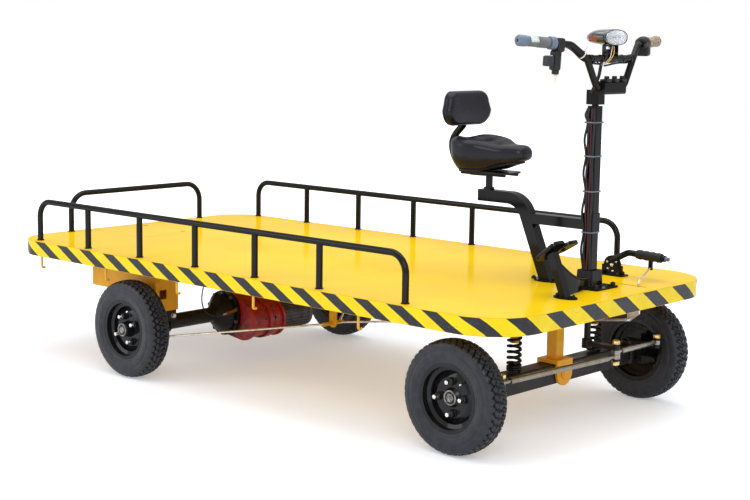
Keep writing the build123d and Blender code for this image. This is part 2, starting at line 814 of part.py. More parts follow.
# Fixed column: a square tube with a bearing bush at its top and the collar of the seat brace
with BuildPart() as steering_column:
    column_bottom = deck_top + base_plate_thickness
    with BuildSketch(Plane.XY.offset(column_bottom)):
        with Locations((column_x, column_y)):
            RectangleRounded(column_size, column_size, 3)
    extrude(amount=column_top - column_bottom)
    with BuildSketch(Plane.XY.offset(collar_bottom)):
        with Locations((column_x, column_y)):
            RectangleRounded(collar_size, collar_size, 3)
    extrude(amount=collar_height)
    with BuildSketch(Plane.XY.offset(column_bottom)):
        with Locations((column_x, column_y)):
            Circle(column_bore_radius)
    extrude(amount=column_top - bush_length - column_bottom, mode=Mode.SUBTRACT)
    with BuildSketch(Plane.XY.offset(column_top - bush_length)):
        with Locations((column_x, column_y)):
            Circle(shaft_radius + pin_gap)
    extrude(amount=bush_length, mode=Mode.SUBTRACT)
steering_column.part.label = "steering_column"
export_step(steering_column.part, "parts/steering_column.step")

# Steering shaft with the pitman arm and its stud below the deck
stud_bottom = right_eye_z - eye_height / 2 - joint_gap - 8
with BuildPart() as steering_shaft:
    round_rod((column_x, column_y, pitman_bottom), (column_x, column_y, head_bottom), shaft_radius)
    round_rod((column_x, column_y, pitman_bottom - 10),
              (column_x, column_y, pitman_bottom + pitman_thickness + 8), 1.6 * shaft_radius)
    with BuildSketch(Plane.XY.offset(pitman_bottom)):
        with BuildLine():
            Polyline((column_x, column_y + pitman_width / 2), (pitman_x, column_y + arm_width / 2),
                     (pitman_x, column_y - arm_width / 2), (column_x, column_y - pitman_width / 2),
                     close=True)
        make_face()
        with Locations((pitman_x, column_y)):
            Circle(arm_width / 2)
    extrude(amount=pitman_thickness)
    round_rod((pitman_x, column_y, stud_bottom), (pitman_x, column_y, pitman_bottom + pitman_thickness + 9),
              ball_stud_radius)
    round_rod((pitman_x, column_y, stud_bottom), (pitman_x, column_y, stud_bottom + 8), 0.7 * eye_radius)
    round_rod((pitman_x, column_y, pitman_bottom + pitman_thickness),
              (pitman_x, column_y, pitman_bottom + pitman_thickness + 7), 0.7 * eye_radius)
steering_shaft.part.label = "steering_shaft"
export_step(steering_shaft.part, "parts/steering_shaft.step")

# Turning head: a block on the shaft that carries the clamp forward to the handlebar
with BuildPart() as handlebar_stem:
    with BuildSketch(Plane.XY.offset(head_bottom)):
        with Locations((column_x, column_y)):
            RectangleRounded(head_size, head_size, 6)
    extrude(amount=head_height)
    with BuildSketch(Plane.XY.offset(clamp_z - clamp_size / 2)):
        with Locations(((column_x + clamp_x) / 2, column_y)):
            Rectangle(clamp_x - column_x, 0.8 * head_size)
    extrude(amount=head_bottom + head_height - clamp_z + clamp_size / 2)
    with BuildSketch(Plane.XZ.offset(-column_y - clamp_width / 2)):
        with Locations((clamp_x, clamp_z)):
            RectangleRounded(clamp_size, clamp_size, 7)
    extrude(amount=clamp_width)
    with BuildSketch(Plane.XZ.offset(-column_y - clamp_width / 2)):
        with Locations((clamp_x, clamp_z)):
            Circle(bar_radius + seat_gap)
    extrude(amount=clamp_width, mode=Mode.SUBTRACT)
    for shift in (-0.36, 0, 0.36):
        bolt_y = column_y + shift * clamp_width
        round_rod((clamp_x + 0.36 * clamp_size, bolt_y, clamp_z + clamp_size / 2),
                  (clamp_x + 0.36 * clamp_size, bolt_y, clamp_z + clamp_size / 2 + 7), 6)
handlebar_stem.part.label = "handlebar_stem"
export_step(handlebar_stem.part, "parts/handlebar_stem.step")

# Handlebar: one bent tube with a cross brace between its uprights
bar_route = [
    (bar_end_x, -bar_end_half, bar_end_z), (bar_shoulder_x, -bar_shoulder_half, bar_shoulder_z),
    (clamp_x - 3, -bar_brace_half, bar_brace_z), (clamp_x, -bar_foot_half - bar_bend / 2, clamp_z),
    (clamp_x, bar_foot_half + bar_bend / 2, clamp_z), (clamp_x - 3, bar_brace_half, bar_brace_z),
    (bar_shoulder_x, bar_shoulder_half, bar_shoulder_z), (bar_end_x, bar_end_half, bar_end_z),
]
bar_points = [Vector(x, column_y + y, z) for x, y, z in bar_route]
with BuildPart() as handlebar:
    bent_tube(bar_points, bar_radius, bar_bend)
    round_rod((clamp_x - 3, column_y - bar_brace_half + 5, bar_brace_z),
              (clamp_x - 3, column_y + bar_brace_half - 5, bar_brace_z), brace_radius)
handlebar.part.label = "handlebar"
export_step(handlebar.part, "parts/handlebar.step")

# Grips and switch housings on the handlebar's ends
# name, bar end, next point of the bar
bar_ends = [("left", bar_points[-1], bar_points[-2]), ("right", bar_points[0], bar_points[1])]
for name, end, shoulder in bar_ends:
    inward = (shoulder - end).normalized()
    with BuildPart() as grip:
        round_rod(end - inward * grip_end_wall, end + inward * grip_length, grip_radius)
        round_rod(end - inward * grip_end_wall, end + inward * 2, grip_radius + 3)
        round_rod(end, end + inward * grip_length, bar_radius + seat_gap, Mode.SUBTRACT)
    grip.part.label = f"grip_{name}"
    export_step(grip.part, f"parts/grip_{name}.step")

# Switch housings beside the grips
with BuildPart() as switch_housings:
    for name, end, shoulder in bar_ends:
        inward = (shoulder - end).normalized()
        start = end + inward * (grip_length + 5)
        round_rod(start, start + inward * switch_width, switch_radius)
        round_rod(start, start + inward * switch_width, bar_radius + seat_gap, Mode.SUBTRACT)
switch_housings.part.label = "switch_housings"
export_step(switch_housings.part, "parts/switch_housings.step")

# Headlamp: a tapered shell with an oval mouth, held over the cross brace by a bracket
lamp_front = lamp_x + lamp_length / 2
with BuildPart() as headlamp:
    for x, half_width, half_height in (
            (lamp_front, lens_half_width - 3, lens_half_height - 2),
            (lamp_x - 0.1 * lamp_length, lens_half_width - 8, lens_half_height),
            (lamp_x - lamp_length / 2, lamp_back_half_width, lamp_back_half_height)):
        with BuildSketch(Plane(origin=(x, column_y, lamp_z), x_dir=(0, 1, 0), z_dir=(1, 0, 0))):
            Ellipse(half_width, half_height)
    loft()
    with BuildSketch(Plane.XY.offset(bar_brace_z + brace_radius + seat_gap)):
        with Locations((clamp_x - 3, column_y)):
            Rectangle(2.4 * brace_radius, lamp_bracket_width)
    extrude(amount=lamp_z - lens_half_height + 6 - bar_brace_z - brace_radius)
headlamp.part.label = "headlamp"
export_step(headlamp.part, "parts/headlamp.step")

with BuildPart() as headlamp_lens:
    with BuildSketch(Plane(origin=(lamp_front, column_y, lamp_z), x_dir=(0, 1, 0), z_dir=(1, 0, 0))):
        Ellipse(lens_half_width, lens_half_height)
    extrude(amount=lens_depth)
    fillet(headlamp_lens.faces().sort_by(Axis.X)[-1].edges(), 6)
headlamp_lens.part.label = "headlamp_lens"
export_step(headlamp_lens.part, "parts/headlamp_lens.step")

# Seat frame: a square tube up from the deck, bent back under the saddle, on an oval foot plate
lean = (seat_foot_x - seat_elbow_x) / (seat_arm_z - deck_top)
half_across = seat_tube_size / 2 * sqrt(1 + lean ** 2)
seat_arm_top = seat_arm_z + seat_tube_size / 2
seat_arm_underside = seat_arm_z - seat_tube_size / 2
side_plane = Plane.XZ.offset(-column_y - seat_tube_size / 2)


def leg_x(z):
    """X of the seat leg's centre line at a height."""
    return seat_elbow_x + (seat_arm_z - z) * lean


with BuildPart() as seat_frame:
    with BuildSketch(side_plane) as seat_side:
        with BuildLine():
            Polyline((seat_arm_rear, seat_arm_top), (leg_x(seat_arm_top) + half_across, seat_arm_top),
                     (leg_x(deck_top) + half_across, deck_top), (leg_x(deck_top) - half_across, deck_top),
                     (leg_x(seat_arm_underside) - half_across, seat_arm_underside),
                     (seat_arm_rear, seat_arm_underside), close=True)
        make_face()
        fillet(seat_side.vertices().group_by(Axis.Y)[-1].sort_by(Axis.X)[-1],
               seat_elbow_radius + seat_tube_size / 2)
        inner_elbow = Vertex(leg_x(seat_arm_underside) - half_across, seat_arm_underside)
        fillet(seat_side.vertices().sort_by_distance(inner_elbow)[0], seat_elbow_radius - seat_tube_size / 2)
    extrude(amount=seat_tube_size)
    with BuildSketch(Plane.XY.offset(deck_top)):
        with Locations((seat_foot_x, column_y)):
            Ellipse(foot_plate_length / 2, foot_plate_width / 2)
    extrude(amount=foot_plate_thickness)
seat_frame.part.label = "seat_frame"
export_step(seat_frame.part, "parts/seat_frame.step")

# Brace from the seat leg's front face to the column's collar
brace_top = brace_z + brace_depth / 2
brace_bottom = brace_z - brace_depth / 2
collar_rear = column_x - collar_size / 2
with BuildPart() as seat_brace:
    with BuildSketch(side_plane):
        with BuildLine():
            Polyline((leg_x(brace_top) + half_across, brace_top), (collar_rear, brace_top),
                     (collar_rear, brace_bottom), (leg_x(brace_bottom) + half_across, brace_bottom),
                     close=True)
        make_face()
    extrude(amount=seat_tube_size)
seat_brace.part.label = "seat_brace"
export_step(seat_brace.part, "parts/seat_brace.step")

# Seat post and the pan under the saddle
with BuildPart() as seat_post:
    round_rod((seat_post_x, column_y, seat_arm_top), (seat_post_x, column_y, seat_post_top), seat_post_radius)
    round_rod((seat_post_x, column_y, seat_arm_top), (seat_post_x, column_y, seat_arm_top + 8),
              1.5 * seat_post_radius)
    with BuildSketch(Plane.XY.offset(seat_post_top)):
        with Locations((seat_post_x, column_y)):
            RectangleRounded(saddle_pan_length, saddle_pan_width, 30)
    extrude(amount=saddle_pan_thickness)
    for side in (1, -1):
        rail_y = column_y + side * 0.3 * saddle_pan_width
        round_rod((seat_post_x - 0.45 * saddle_pan_length, rail_y, seat_post_top - 4),
                  (seat_post_x + 0.45 * saddle_pan_length, rail_y, seat_post_top - 4), 6)
seat_post.part.label = "seat_post"
export_step(seat_post.part, "parts/seat_post.step")

# Saddle: broad at the rear with a raised back edge, narrow at the nose
saddle_seat_z = seat_post_top + saddle_pan_thickness + seat_gap
saddle_back_reach = 0.36 * saddle_width
saddle_back_x = saddle_rear + saddle_back_reach
with BuildPart() as saddle:
    with BuildSketch(Plane.XY.offset(saddle_seat_z)):
        with Locations((saddle_back_x, column_y)):
            Ellipse(saddle_back_reach, saddle_width / 2)
        with Locations((saddle_nose - saddle_nose_width / 2, column_y)):
            Circle(saddle_nose_width / 2)
        make_hull()
    extrude(amount=saddle_top - saddle_seat_z)
    fillet(saddle.faces().sort_by(Axis.Z)[-1].edges(), saddle_round)
    for height, inset in ((saddle_top - saddle_round, saddle_edge),
                          (saddle_bolster_top, saddle_edge + saddle_bolster_inset)):
        with BuildSketch(Plane.XY.offset(height)):
            with Locations((saddle_back_x, column_y)):
                Ellipse(saddle_back_reach - inset, saddle_width / 2 - inset)
    loft()
    fillet(saddle.faces().sort_by(Axis.Z)[-1].edges(), saddle_round)
saddle.part.label = "saddle"
export_step(saddle.part, "parts/saddle.step")

# Backrest: an S-bent tube up behind the saddle with a small pad at its top
backrest_plane = Plane(origin=(backrest_x, column_y, backrest_z), x_dir=(0, 1, 0),
                       z_dir=(1, 0, 0)).rotated((0, -backrest_lean, 0))
tube_depth = -backrest_thickness / 2 - seat_gap - 2 - backrest_tube_radius
with BuildPart() as backrest_pad:
    with BuildSketch(backrest_plane.offset(-backrest_thickness / 2)):
        with BuildLine():
            Polyline((-0.5 * backrest_width, -0.5 * backrest_height),
                     (0.5 * backrest_width, -0.5 * backrest_height),
                     (0.41 * backrest_width, 0.5 * backrest_height),
                     (-0.41 * backrest_width, 0.5 * backrest_height), close=True)
        pad_face = make_face()
        fillet(pad_face.vertices(), 0.28 * backrest_height)
    extrude(amount=backrest_thickness)
    fillet(backrest_pad.faces().sort_by(Axis.X)[-1].edges(), 14)
backrest_pad.part.label = "backrest_pad"
export_step(backrest_pad.part, "parts/backrest_pad.step")

backrest_route = [
    (seat_post_x - seat_post_radius - seat_gap, column_y, seat_post_top - 30),
    (seat_post_x - 137, column_y, seat_post_top - 30),
    (backrest_x - 64, column_y, saddle_bottom + 46), (backrest_x - 48, column_y, saddle_bottom + 108),
    backrest_plane.from_local_coords((0, -22, tube_depth)),
    backrest_plane.from_local_coords((0, 22, tube_depth)),
]
with BuildPart() as backrest_tube:
    bent_tube(backrest_route, backrest_tube_radius, 26)
    with BuildSketch(backrest_plane.offset(-backrest_thickness / 2 - 4 - seat_gap)):
        RectangleRounded(0.5 * backrest_width, 0.5 * backrest_height, 10)
    extrude(amount=4)
backrest_tube.part.label = "backrest_tube"
export_step(backrest_tube.part, "parts/backrest_tube.step")

# Breather hose: it hangs free from the deck's underside to a fitting on the rear axle housing
hose_route = [
    (-470, -250, 453), (-470, -250, 402), (-470, -254, 350), (-470, -271, 303), (-470, -279, 257),
    (-469, -262, 209), (-465, -212, 186), (-460, -162, 194),
]
hose_bends = largest_bends(hose_route)
print("breather hose bend radii", [round(bend) for bend in hose_bends])
hose_end = Vector(hose_route[-1])
hose_end_run = (hose_end - Vector(hose_route[-2])).normalized()
with BuildPart() as breather_hose:
    bent_tube(hose_route, hose_radius, hose_bends)
breather_hose.part.label = "breather_hose"
export_step(breather_hose.part, "parts/breather_hose.step")

# Rear axle: a housing that widens to the gear case, with a backing plate and spindle at each end
drum_edge = rear_track_half - drum_inset
plate_out = drum_edge - backing_plate_gap
plate_in = plate_out - backing_plate_thickness
rear_spindle_end = rear_track_half + rear_hub_nose - hub_cap_wall - joint_gap
rear_across = Plane(origin=(rear_axle_x, 0, axle_z), x_dir=(0, 1, 0), z_dir=(1, 0, 0))
with BuildPart() as rear_axle_housing:
    with BuildSketch(rear_across):
        with BuildLine():
            Polyline(
                (-rear_spindle_end, 0), (-rear_spindle_end, spindle_radius), (-plate_out, spindle_radius),
                (-plate_out, backing_plate_radius), (-plate_in, backing_plate_radius),
                (-plate_in, axle_tube_radius), (banjo_start, axle_tube_radius),
                (banjo_start + 50, banjo_radius - 14), (banjo_end - 14, banjo_radius - 14),
                (banjo_end - 14, banjo_radius), (banjo_end, banjo_radius), (banjo_end, 0), close=True)
        make_face()
        with BuildLine():
            Polyline(
                (gear_case_left, 0), (gear_case_left, left_flange_radius),
                (gear_case_left + 10, left_flange_radius), (gear_case_left + 16, axle_tube_radius),
                (plate_in, axle_tube_radius), (plate_in, backing_plate_radius),
                (plate_out, backing_plate_radius), (plate_out, spindle_radius),
                (rear_spindle_end, spindle_radius), (rear_spindle_end, 0), close=True)
        make_face()
    revolve(axis=Axis((rear_axle_x, 0, axle_z), (0, 1, 0)))
    round_rod(hose_end, hose_end + hose_end_run * hose_fitting_length, hose_fitting_radius)
rear_axle_housing.part.label = "rear_axle_housing"
export_step(rear_axle_housing.part, "parts/rear_axle_housing.step")

# Gear case between the axle and the motor: bolted flanges round a cast body
# right face, left face, extra radius
case_sections = [
    (banjo_end, banjo_end + gear_flange_width, gear_flange_rise),
    (banjo_end + gear_flange_width, gear_case_left - gear_flange_width, 0),
    (-gear_flange_width, gear_flange_width, gear_flange_rise),
    (gear_case_left - gear_flange_width, gear_case_left, gear_flange_rise),
]
with BuildPart() as gear_case:
    for right, left, rise in case_sections:
        with BuildSketch(Plane.XZ.offset(-left)):
            with Locations((rear_axle_x, axle_z)):
                Circle(gear_case_radius + rise)
            with Locations((motor_x, motor_z)):
                Circle(gear_nose_radius + rise)
            make_hull()
        extrude(amount=left - right)
    with BuildSketch(Plane.XZ.offset(-gear_flange_width - 9)):
        with Locations((motor_x, motor_z)):
            with PolarLocations(gear_nose_radius, 5, -110, 40):
                Circle(case_bolt_radius)
    extrude(amount=2 * gear_flange_width + 18)
gear_case.part.label = "gear_case"
export_step(gear_case.part, "parts/gear_case.step")

# Drive motor bolted to the gear case's left face, ribbed along its length
with BuildPart() as drive_motor:
    motor_left = gear_case_left + motor_length
    with BuildSketch(Plane.XZ.offset(-motor_left)):
        with Locations((motor_x, motor_z)):
            Circle(motor_radius)
    extrude(amount=16)
    with BuildSketch(Plane.XZ.offset(-gear_case_left - 12)):
        with Locations((motor_x, motor_z)):
            Circle(motor_radius)
    extrude(amount=12)
    with BuildSketch(Plane.XZ.offset(-motor_left + 16)):
        with Locations((motor_x, motor_z)):
            Circle(motor_radius - motor_rib_height)
            with PolarLocations(motor_radius - motor_rib_height, motor_rib_count):
                Rectangle(2 * motor_rib_height, 4)
    extrude(amount=motor_length - 28)
    with BuildSketch(Plane.XZ.offset(-motor_left - motor_cap_length)):
        with Locations((motor_x, motor_z)):
            Circle(motor_cap_radius)
    extrude(amount=motor_cap_length)
drive_motor.part.label = "drive_motor"
export_step(drive_motor.part, "parts/drive_motor.step")

# Rear hangers: a channel under each side of the frame with a boxed riser down to the axle
riser_outer = chassis_beam_y + hanger_beam_width / 2
riser_mid = riser_outer - riser_width / 2
riser_x = hanger_front - riser_length / 2
with BuildPart() as rear_hangers:
    for side in (1, -1):
        web_y = side * (riser_outer - hanger_wall / 2)
        with BuildSketch(Plane.XY.offset(hanger_beam_bottom)):
            with Locations(((hanger_beam_rear + hanger_front) / 2, web_y)):
                Rectangle(hanger_front - hanger_beam_rear, hanger_wall)
        extrude(amount=chassis_bottom - hanger_beam_bottom)
        for bottom in (hanger_beam_bottom, chassis_bottom - hanger_wall):
            with BuildSketch(Plane.XY.offset(bottom)):
                with Locations(((hanger_beam_rear + hanger_front) / 2, side * chassis_beam_y)):
                    Rectangle(hanger_front - hanger_beam_rear, hanger_beam_width)
            extrude(amount=hanger_wall)
        with BuildSketch(Plane.XY.offset(riser_bottom)):
            with Locations((riser_x, side * riser_mid)):
                Rectangle(riser_length, riser_width)
                Rectangle(riser_length - 2 * hanger_wall, riser_width - 2 * hanger_wall,
                          mode=Mode.SUBTRACT)
        extrude(amount=chassis_bottom - riser_bottom)
        with BuildSketch(Plane.XY.offset(riser_bottom)):
            with Locations((riser_x, side * riser_mid)):
                Rectangle(riser_length, riser_width)
        extrude(amount=hanger_wall)
        with BuildSketch(Plane.YZ.offset(hanger_front - riser_length)):
            with Locations((side * (riser_mid + 18), hanger_beam_bottom + 3)):
                Rectangle(riser_window, riser_window)
        extrude(amount=riser_length, mode=Mode.SUBTRACT)
        with BuildSketch(Plane.XZ.offset(-web_y - hanger_wall / 2)):
            with BuildLine():
                Polyline((hanger_front, chassis_bottom), (hanger_front + 70, chassis_bottom),
                         (hanger_front + 70, chassis_bottom - 14), (hanger_front, chassis_bottom - 60),
                         close=True)
            make_face()
        extrude(amount=hanger_wall)
rear_hangers.part.label = "rear_hangers"
export_step(rear_hangers.part, "parts/rear_hangers.step")

# Axle pads under the risers, each held round the axle tube by two U-bolts
with BuildPart() as axle_clamps:
    for side in (1, -1):
        with BuildSketch(Plane.XY.offset(pad_bottom)):
            with Locations((rear_axle_x, side * riser_mid)):
                Rectangle(riser_length, pad_width)
        extrude(amount=riser_bottom - pad_bottom)
    round_rod((rear_axle_x, -riser_outer, axle_z), (rear_axle_x, riser_outer, axle_z),
              axle_tube_radius + seat_gap, Mode.SUBTRACT)
    bolt_reach = axle_tube_radius + seat_gap + u_bolt_radius + 0.5
    for side in (1, -1):
        for shift in (-0.32, 0.32):
            y = side * riser_mid + shift * pad_width
            bent_tube(
                [(rear_axle_x - bolt_reach, y, riser_bottom - 2),
                 (rear_axle_x - bolt_reach, y, axle_z - bolt_reach),
                 (rear_axle_x + bolt_reach, y, axle_z - bolt_reach),
                 (rear_axle_x + bolt_reach, y, riser_bottom - 2)],
                u_bolt_radius, bolt_reach - 1)
axle_clamps.part.label = "axle_clamps"
export_step(axle_clamps.part, "parts/axle_clamps.step")

# Battery tray hung from the ledge round the hatch, and the batteries in it
battery_pitch = battery_width + battery_spacing
battery_bottom = deck_underside - battery_headroom - battery_height
tray_length = hatch_length - 2 * hatch_lip + 2 * tray_lip / 4
tray_width = hatch_width - 2 * hatch_lip + 2 * tray_lip / 4
with BuildPart() as battery_tray:
    with BuildSketch(Plane.XY.offset(battery_bottom - tray_wall)):
        with Locations((hatch_x, 0)):
            Rectangle(tray_length, tray_width)
    extrude(amount=tray_wall + tray_lip)
    with BuildSketch(Plane.XY.offset(battery_bottom)):
        with Locations((hatch_x, 0)):
            Rectangle(tray_length - 2 * tray_wall, tray_width - 2 * tray_wall)
    extrude(amount=tray_lip, mode=Mode.SUBTRACT)
    with BuildSketch(Plane.XY.offset(battery_bottom)):
        with Locations((hatch_x, 0)):
            with GridLocations(tray_length - tray_wall, 0.6 * tray_width, 2, 2):
                Rectangle(tray_wall, tray_strap)
    extrude(amount=chassis_bottom - battery_bottom)
battery_tray.part.label = "battery_tray"
export_step(battery_tray.part, "parts/battery_tray.step")

with BuildPart() as battery_pack:
    with BuildSketch(Plane.XY.offset(battery_bottom)):
        with Locations((hatch_x, 0)):
            with GridLocations(0, battery_pitch, 1, battery_count):
                RectangleRounded(battery_length, battery_width, 5)
    extrude(amount=battery_height)
    with BuildSketch(Plane.XY.offset(battery_bottom + battery_height)):
        with Locations((hatch_x, 0)):
            with GridLocations(0, battery_pitch, 1, battery_count):
                with GridLocations(0.8 * battery_length, 0.5 * battery_width, 2, 1):
                    Circle(7)
    extrude(amount=0.6 * battery_headroom)
battery_pack.part.label = "battery_pack"
export_step(battery_pack.part, "parts/battery_pack.step")

# Brake equaliser: a plate hung from the frame with a cross bar at its foot
with BuildPart() as brake_equalizer:
    with BuildSketch(Plane.XZ.offset(-equalizer_y - 4)):
        with BuildLine():
            Polyline((equalizer_x - 20, chassis_bottom), (equalizer_x + 20, chassis_bottom),
                     (equalizer_x + 16, equalizer_z), (equalizer_x - 16, equalizer_z), close=True)
        make_face()
        with Locations((equalizer_x, equalizer_z)):
            Circle(16)
    extrude(amount=8)
    round_rod((equalizer_x, equalizer_y - equalizer_half, equalizer_z),
              (equalizer_x, equalizer_y + equalizer_half, equalizer_z), equalizer_bar_radius)
brake_equalizer.part.label = "brake_equalizer"
export_step(brake_equalizer.part, "parts/brake_equalizer.step")

# Brake rods back from the equaliser to the arm on each rear backing plate
with BuildPart() as brake_rods:
    for side in (1, -1):
        bar_end = (equalizer_x - equalizer_bar_radius, equalizer_y + side * (equalizer_half - 8), equalizer_z)
        round_rod(bar_end, (brake_arm_x, side * brake_arm_y, brake_arm_z), brake_rod_radius)
        with BuildSketch(Plane.XZ.offset(-side * (plate_in - brake_arm_thickness / 2)
                                         - brake_arm_thickness / 2)):
            with BuildLine():
                Polyline((rear_axle_x + 45, axle_z + 4), (brake_arm_x, brake_arm_z + 8),
                         (brake_arm_x, brake_arm_z - 8), (rear_axle_x + 45, axle_z - 24), close=True)
            make_face()
            with Locations((brake_arm_x, brake_arm_z)):
                Circle(8)
        extrude(amount=brake_arm_thickness)
        round_rod((brake_arm_x, side * (brake_arm_y - 5), brake_arm_z),
                  (brake_arm_x, side * plate_in, brake_arm_z), 5)
    add(brake_equalizer.part, mode=Mode.SUBTRACT)
brake_rods.part.label = "brake_rods"
export_step(brake_rods.part, "parts/brake_rods.step")

# Right pedal: a tilted pad on an arm up from an oval foot plate
right_pad = (column_x + pedal_reach, pedal_y, deck_top + pedal_rise)
right_foot = (column_x + pedal_foot_reach, pedal_y, deck_top)
right_pad_plane = Plane(origin=right_pad, x_dir=(0, 1, 0), z_dir=(-0.64, 0, 0.77))
with BuildPart() as foot_pedal_right:
    with BuildSketch(Plane.XZ.offset(-right_foot[1] - pedal_arm_width / 2)):
        with BuildLine():
            Polyline((right_foot[0] - 11, deck_top), (right_foot[0] + 11, deck_top),
                     (right_pad[0] + 17, right_pad[2] + 4), (right_pad[0] - 8, right_pad[2] - 6), close=True)
        make_face()
    extrude(amount=pedal_arm_width)
    with BuildSketch(right_pad_plane):
        RectangleRounded(pedal_width, pedal_length, 22)
    extrude(amount=pedal_thickness)
    with BuildSketch(Plane.XY.offset(deck_top)):
        with Locations((right_foot[0], right_foot[1])):
            Ellipse(43, 26)
    extrude(amount=5)
foot_pedal_right.part.label = "foot_pedal_right"
export_step(foot_pedal_right.part, "parts/foot_pedal_right.step")

# Left foot rest: an oval pad on a bent stay from the side of the seat frame's leg
left_pad = (seat_foot_x + foot_rest_reach, column_y + foot_rest_side, deck_top + foot_rest_rise)
stay_z = left_pad[2] - 12
with BuildPart() as foot_rest_left:
    bent_tube([(leg_x(stay_z), column_y + seat_tube_size / 2, stay_z), (leg_x(stay_z), left_pad[1], stay_z),
               (left_pad[0], left_pad[1], left_pad[2] + 1)], foot_stay_radius, 18)
    with BuildSketch(Plane(origin=left_pad, x_dir=(0, 1, 0), z_dir=(-0.5, 0, 0.87))):
        RectangleRounded(pedal_width, pedal_length, 26)
    extrude(amount=pedal_thickness)
foot_rest_left.part.label = "foot_rest_left"
export_step(foot_rest_left.part, "parts/foot_rest_left.step")

# Handbrake: a ratchet plate on a foot, and the lever with its grip, release button and rod lug
lever_elbow_top = lever_pivot_z + lever_elbow_rise
lever_end = Vector(lever_pivot_x + lever_reach, lever_y, lever_pivot_z + lever_rise)
lever_elbow = Vector(lever_pivot_x + lever_elbow_reach, lever_y, lever_elbow_top)
lever_run = (lever_end - lever_elbow).normalized()
grip_end = lever_end - lever_run * lever_button_length
with BuildPart() as handbrake_lever:
    with BuildSketch(Plane.XZ.offset(-lever_y - lever_plate_thickness / 2)):
        with Locations((lever_pivot_x, lever_pivot_z)):
            Circle(lever_plate_radius)
        with Locations((lever_pivot_x, (deck_top + lever_pivot_z) / 2)):
            Rectangle(2.4 * lever_plate_radius, lever_pivot_z - deck_top)
        with Locations((lever_lug_x, (lever_lug_z + lever_elbow_top) / 2 - 2)):
            Rectangle(lever_lug_width, lever_elbow_top - lever_lug_z + 12)
    extrude(amount=lever_plate_thickness)
    with BuildSketch(Plane.XY.offset(deck_top)):
        with Locations((lever_pivot_x, lever_y)):
            RectangleRounded(lever_foot_length, lever_foot_width, lever_foot_width / 4)
    extrude(amount=lever_foot_thickness)
    bent_tube([(lever_pivot_x, lever_y, lever_pivot_z + lever_plate_radius / 2), lever_elbow, lever_end],
              lever_tube_radius, 40)
    round_rod(grip_end - lever_run * lever_grip_length, grip_end, lever_grip_radius)
    round_rod(grip_end, lever_end + lever_run * lever_button_length, lever_button_radius)
handbrake_lever.part.label = "handbrake_lever"
export_step(handbrake_lever.part, "parts/handbrake_lever.step")

# Brake linkage: a rod down through the deck's slot, a bell crank under it and the pull rod back
crank_foot_x = brake_rod_x - bellcrank_reach
crank_foot_z = bellcrank_z - bellcrank_reach
with BuildPart() as brake_linkage:
    bent_tube([(lever_lug_x, lever_y, lever_lug_z), (brake_rod_x, brake_slot_y, deck_top + 16),
               (brake_rod_x, brake_slot_y, bellcrank_z)], brake_link_radius, 12)
    with BuildSketch(Plane.XZ.offset(-brake_slot_y - 3)):
        with BuildLine():
            Polyline((brake_rod_x + 8, bellcrank_z + 8), (brake_rod_x + 8, bellcrank_z - 8),
                     (crank_foot_x, crank_foot_z - 8), (crank_foot_x - 8, crank_foot_z),
                     (crank_foot_x - 8, bellcrank_z + 8), close=True)
        make_face()
    extrude(amount=6)
    round_rod((crank_foot_x, brake_slot_y, crank_foot_z),
              (crank_foot_x, brake_slot_y - crank_pin, crank_foot_z), brake_link_radius + 2)
    round_rod((crank_foot_x, brake_slot_y - crank_pin + 4, crank_foot_z),
              (equalizer_x, equalizer_y + 30, equalizer_z), brake_link_radius + 1)
    round_rod((crank_foot_x, brake_slot_y, bellcrank_z), (crank_foot_x, brake_slot_y, chassis_bottom), 7)
    add(handbrake_lever.part, mode=Mode.SUBTRACT)
    add(brake_equalizer.part, mode=Mode.SUBTRACT)
brake_linkage.part.label = "brake_linkage"
export_step(brake_linkage.part, "parts/brake_linkage.step")

# Cables strapped to the column's right face, from the boot up to the turning head
cable_y = column_y - column_size / 2 - cable_radius - seat_gap
with BuildPart() as column_cables:
    for shift in (-cable_pitch, 0, cable_pitch):
        round_rod((column_x + shift, cable_y, deck_top + boot_height + 2),
                  (column_x + shift, cable_y, column_top - 8), cable_radius)
    for drop in cable_strap_drops:
        with BuildSketch(Plane.XY.offset(column_top - drop)):
            with Locations((column_x, cable_y)):
                RectangleRounded(cable_strap_width, cable_strap_depth, cable_radius)
        extrude(amount=cable_strap_height)
    add(steering_column.part, mode=Mode.SUBTRACT)
column_cables.part.label = "column_cables"
export_step(column_cables.part, "parts/column_cables.step")
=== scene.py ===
"""Looks of the electric platform cart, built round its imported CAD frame.

X runs forward, Y to the cart's left and Z up. Lengths are in millimetres until a piece is put into the scene,
which is in metres.
"""

import logging
import math
from dataclasses import dataclass, field
from enum import Enum

import bpy
import numpy as np
from mathutils import Matrix, Vector


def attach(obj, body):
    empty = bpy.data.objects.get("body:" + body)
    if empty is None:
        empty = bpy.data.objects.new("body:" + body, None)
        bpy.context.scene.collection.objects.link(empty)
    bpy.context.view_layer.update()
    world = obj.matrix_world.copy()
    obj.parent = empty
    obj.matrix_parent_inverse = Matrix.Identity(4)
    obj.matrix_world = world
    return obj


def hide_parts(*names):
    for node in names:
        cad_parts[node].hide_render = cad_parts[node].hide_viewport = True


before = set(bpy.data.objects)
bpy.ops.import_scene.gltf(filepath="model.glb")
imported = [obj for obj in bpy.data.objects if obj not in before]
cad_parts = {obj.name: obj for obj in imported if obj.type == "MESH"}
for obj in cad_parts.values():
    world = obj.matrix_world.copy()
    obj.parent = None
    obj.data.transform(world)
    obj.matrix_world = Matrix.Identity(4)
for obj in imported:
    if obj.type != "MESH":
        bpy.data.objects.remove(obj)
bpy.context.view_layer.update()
MM = 0.001
LOG = logging.getLogger("cart")

Array = np.ndarray
Colour = tuple[float, float, float]


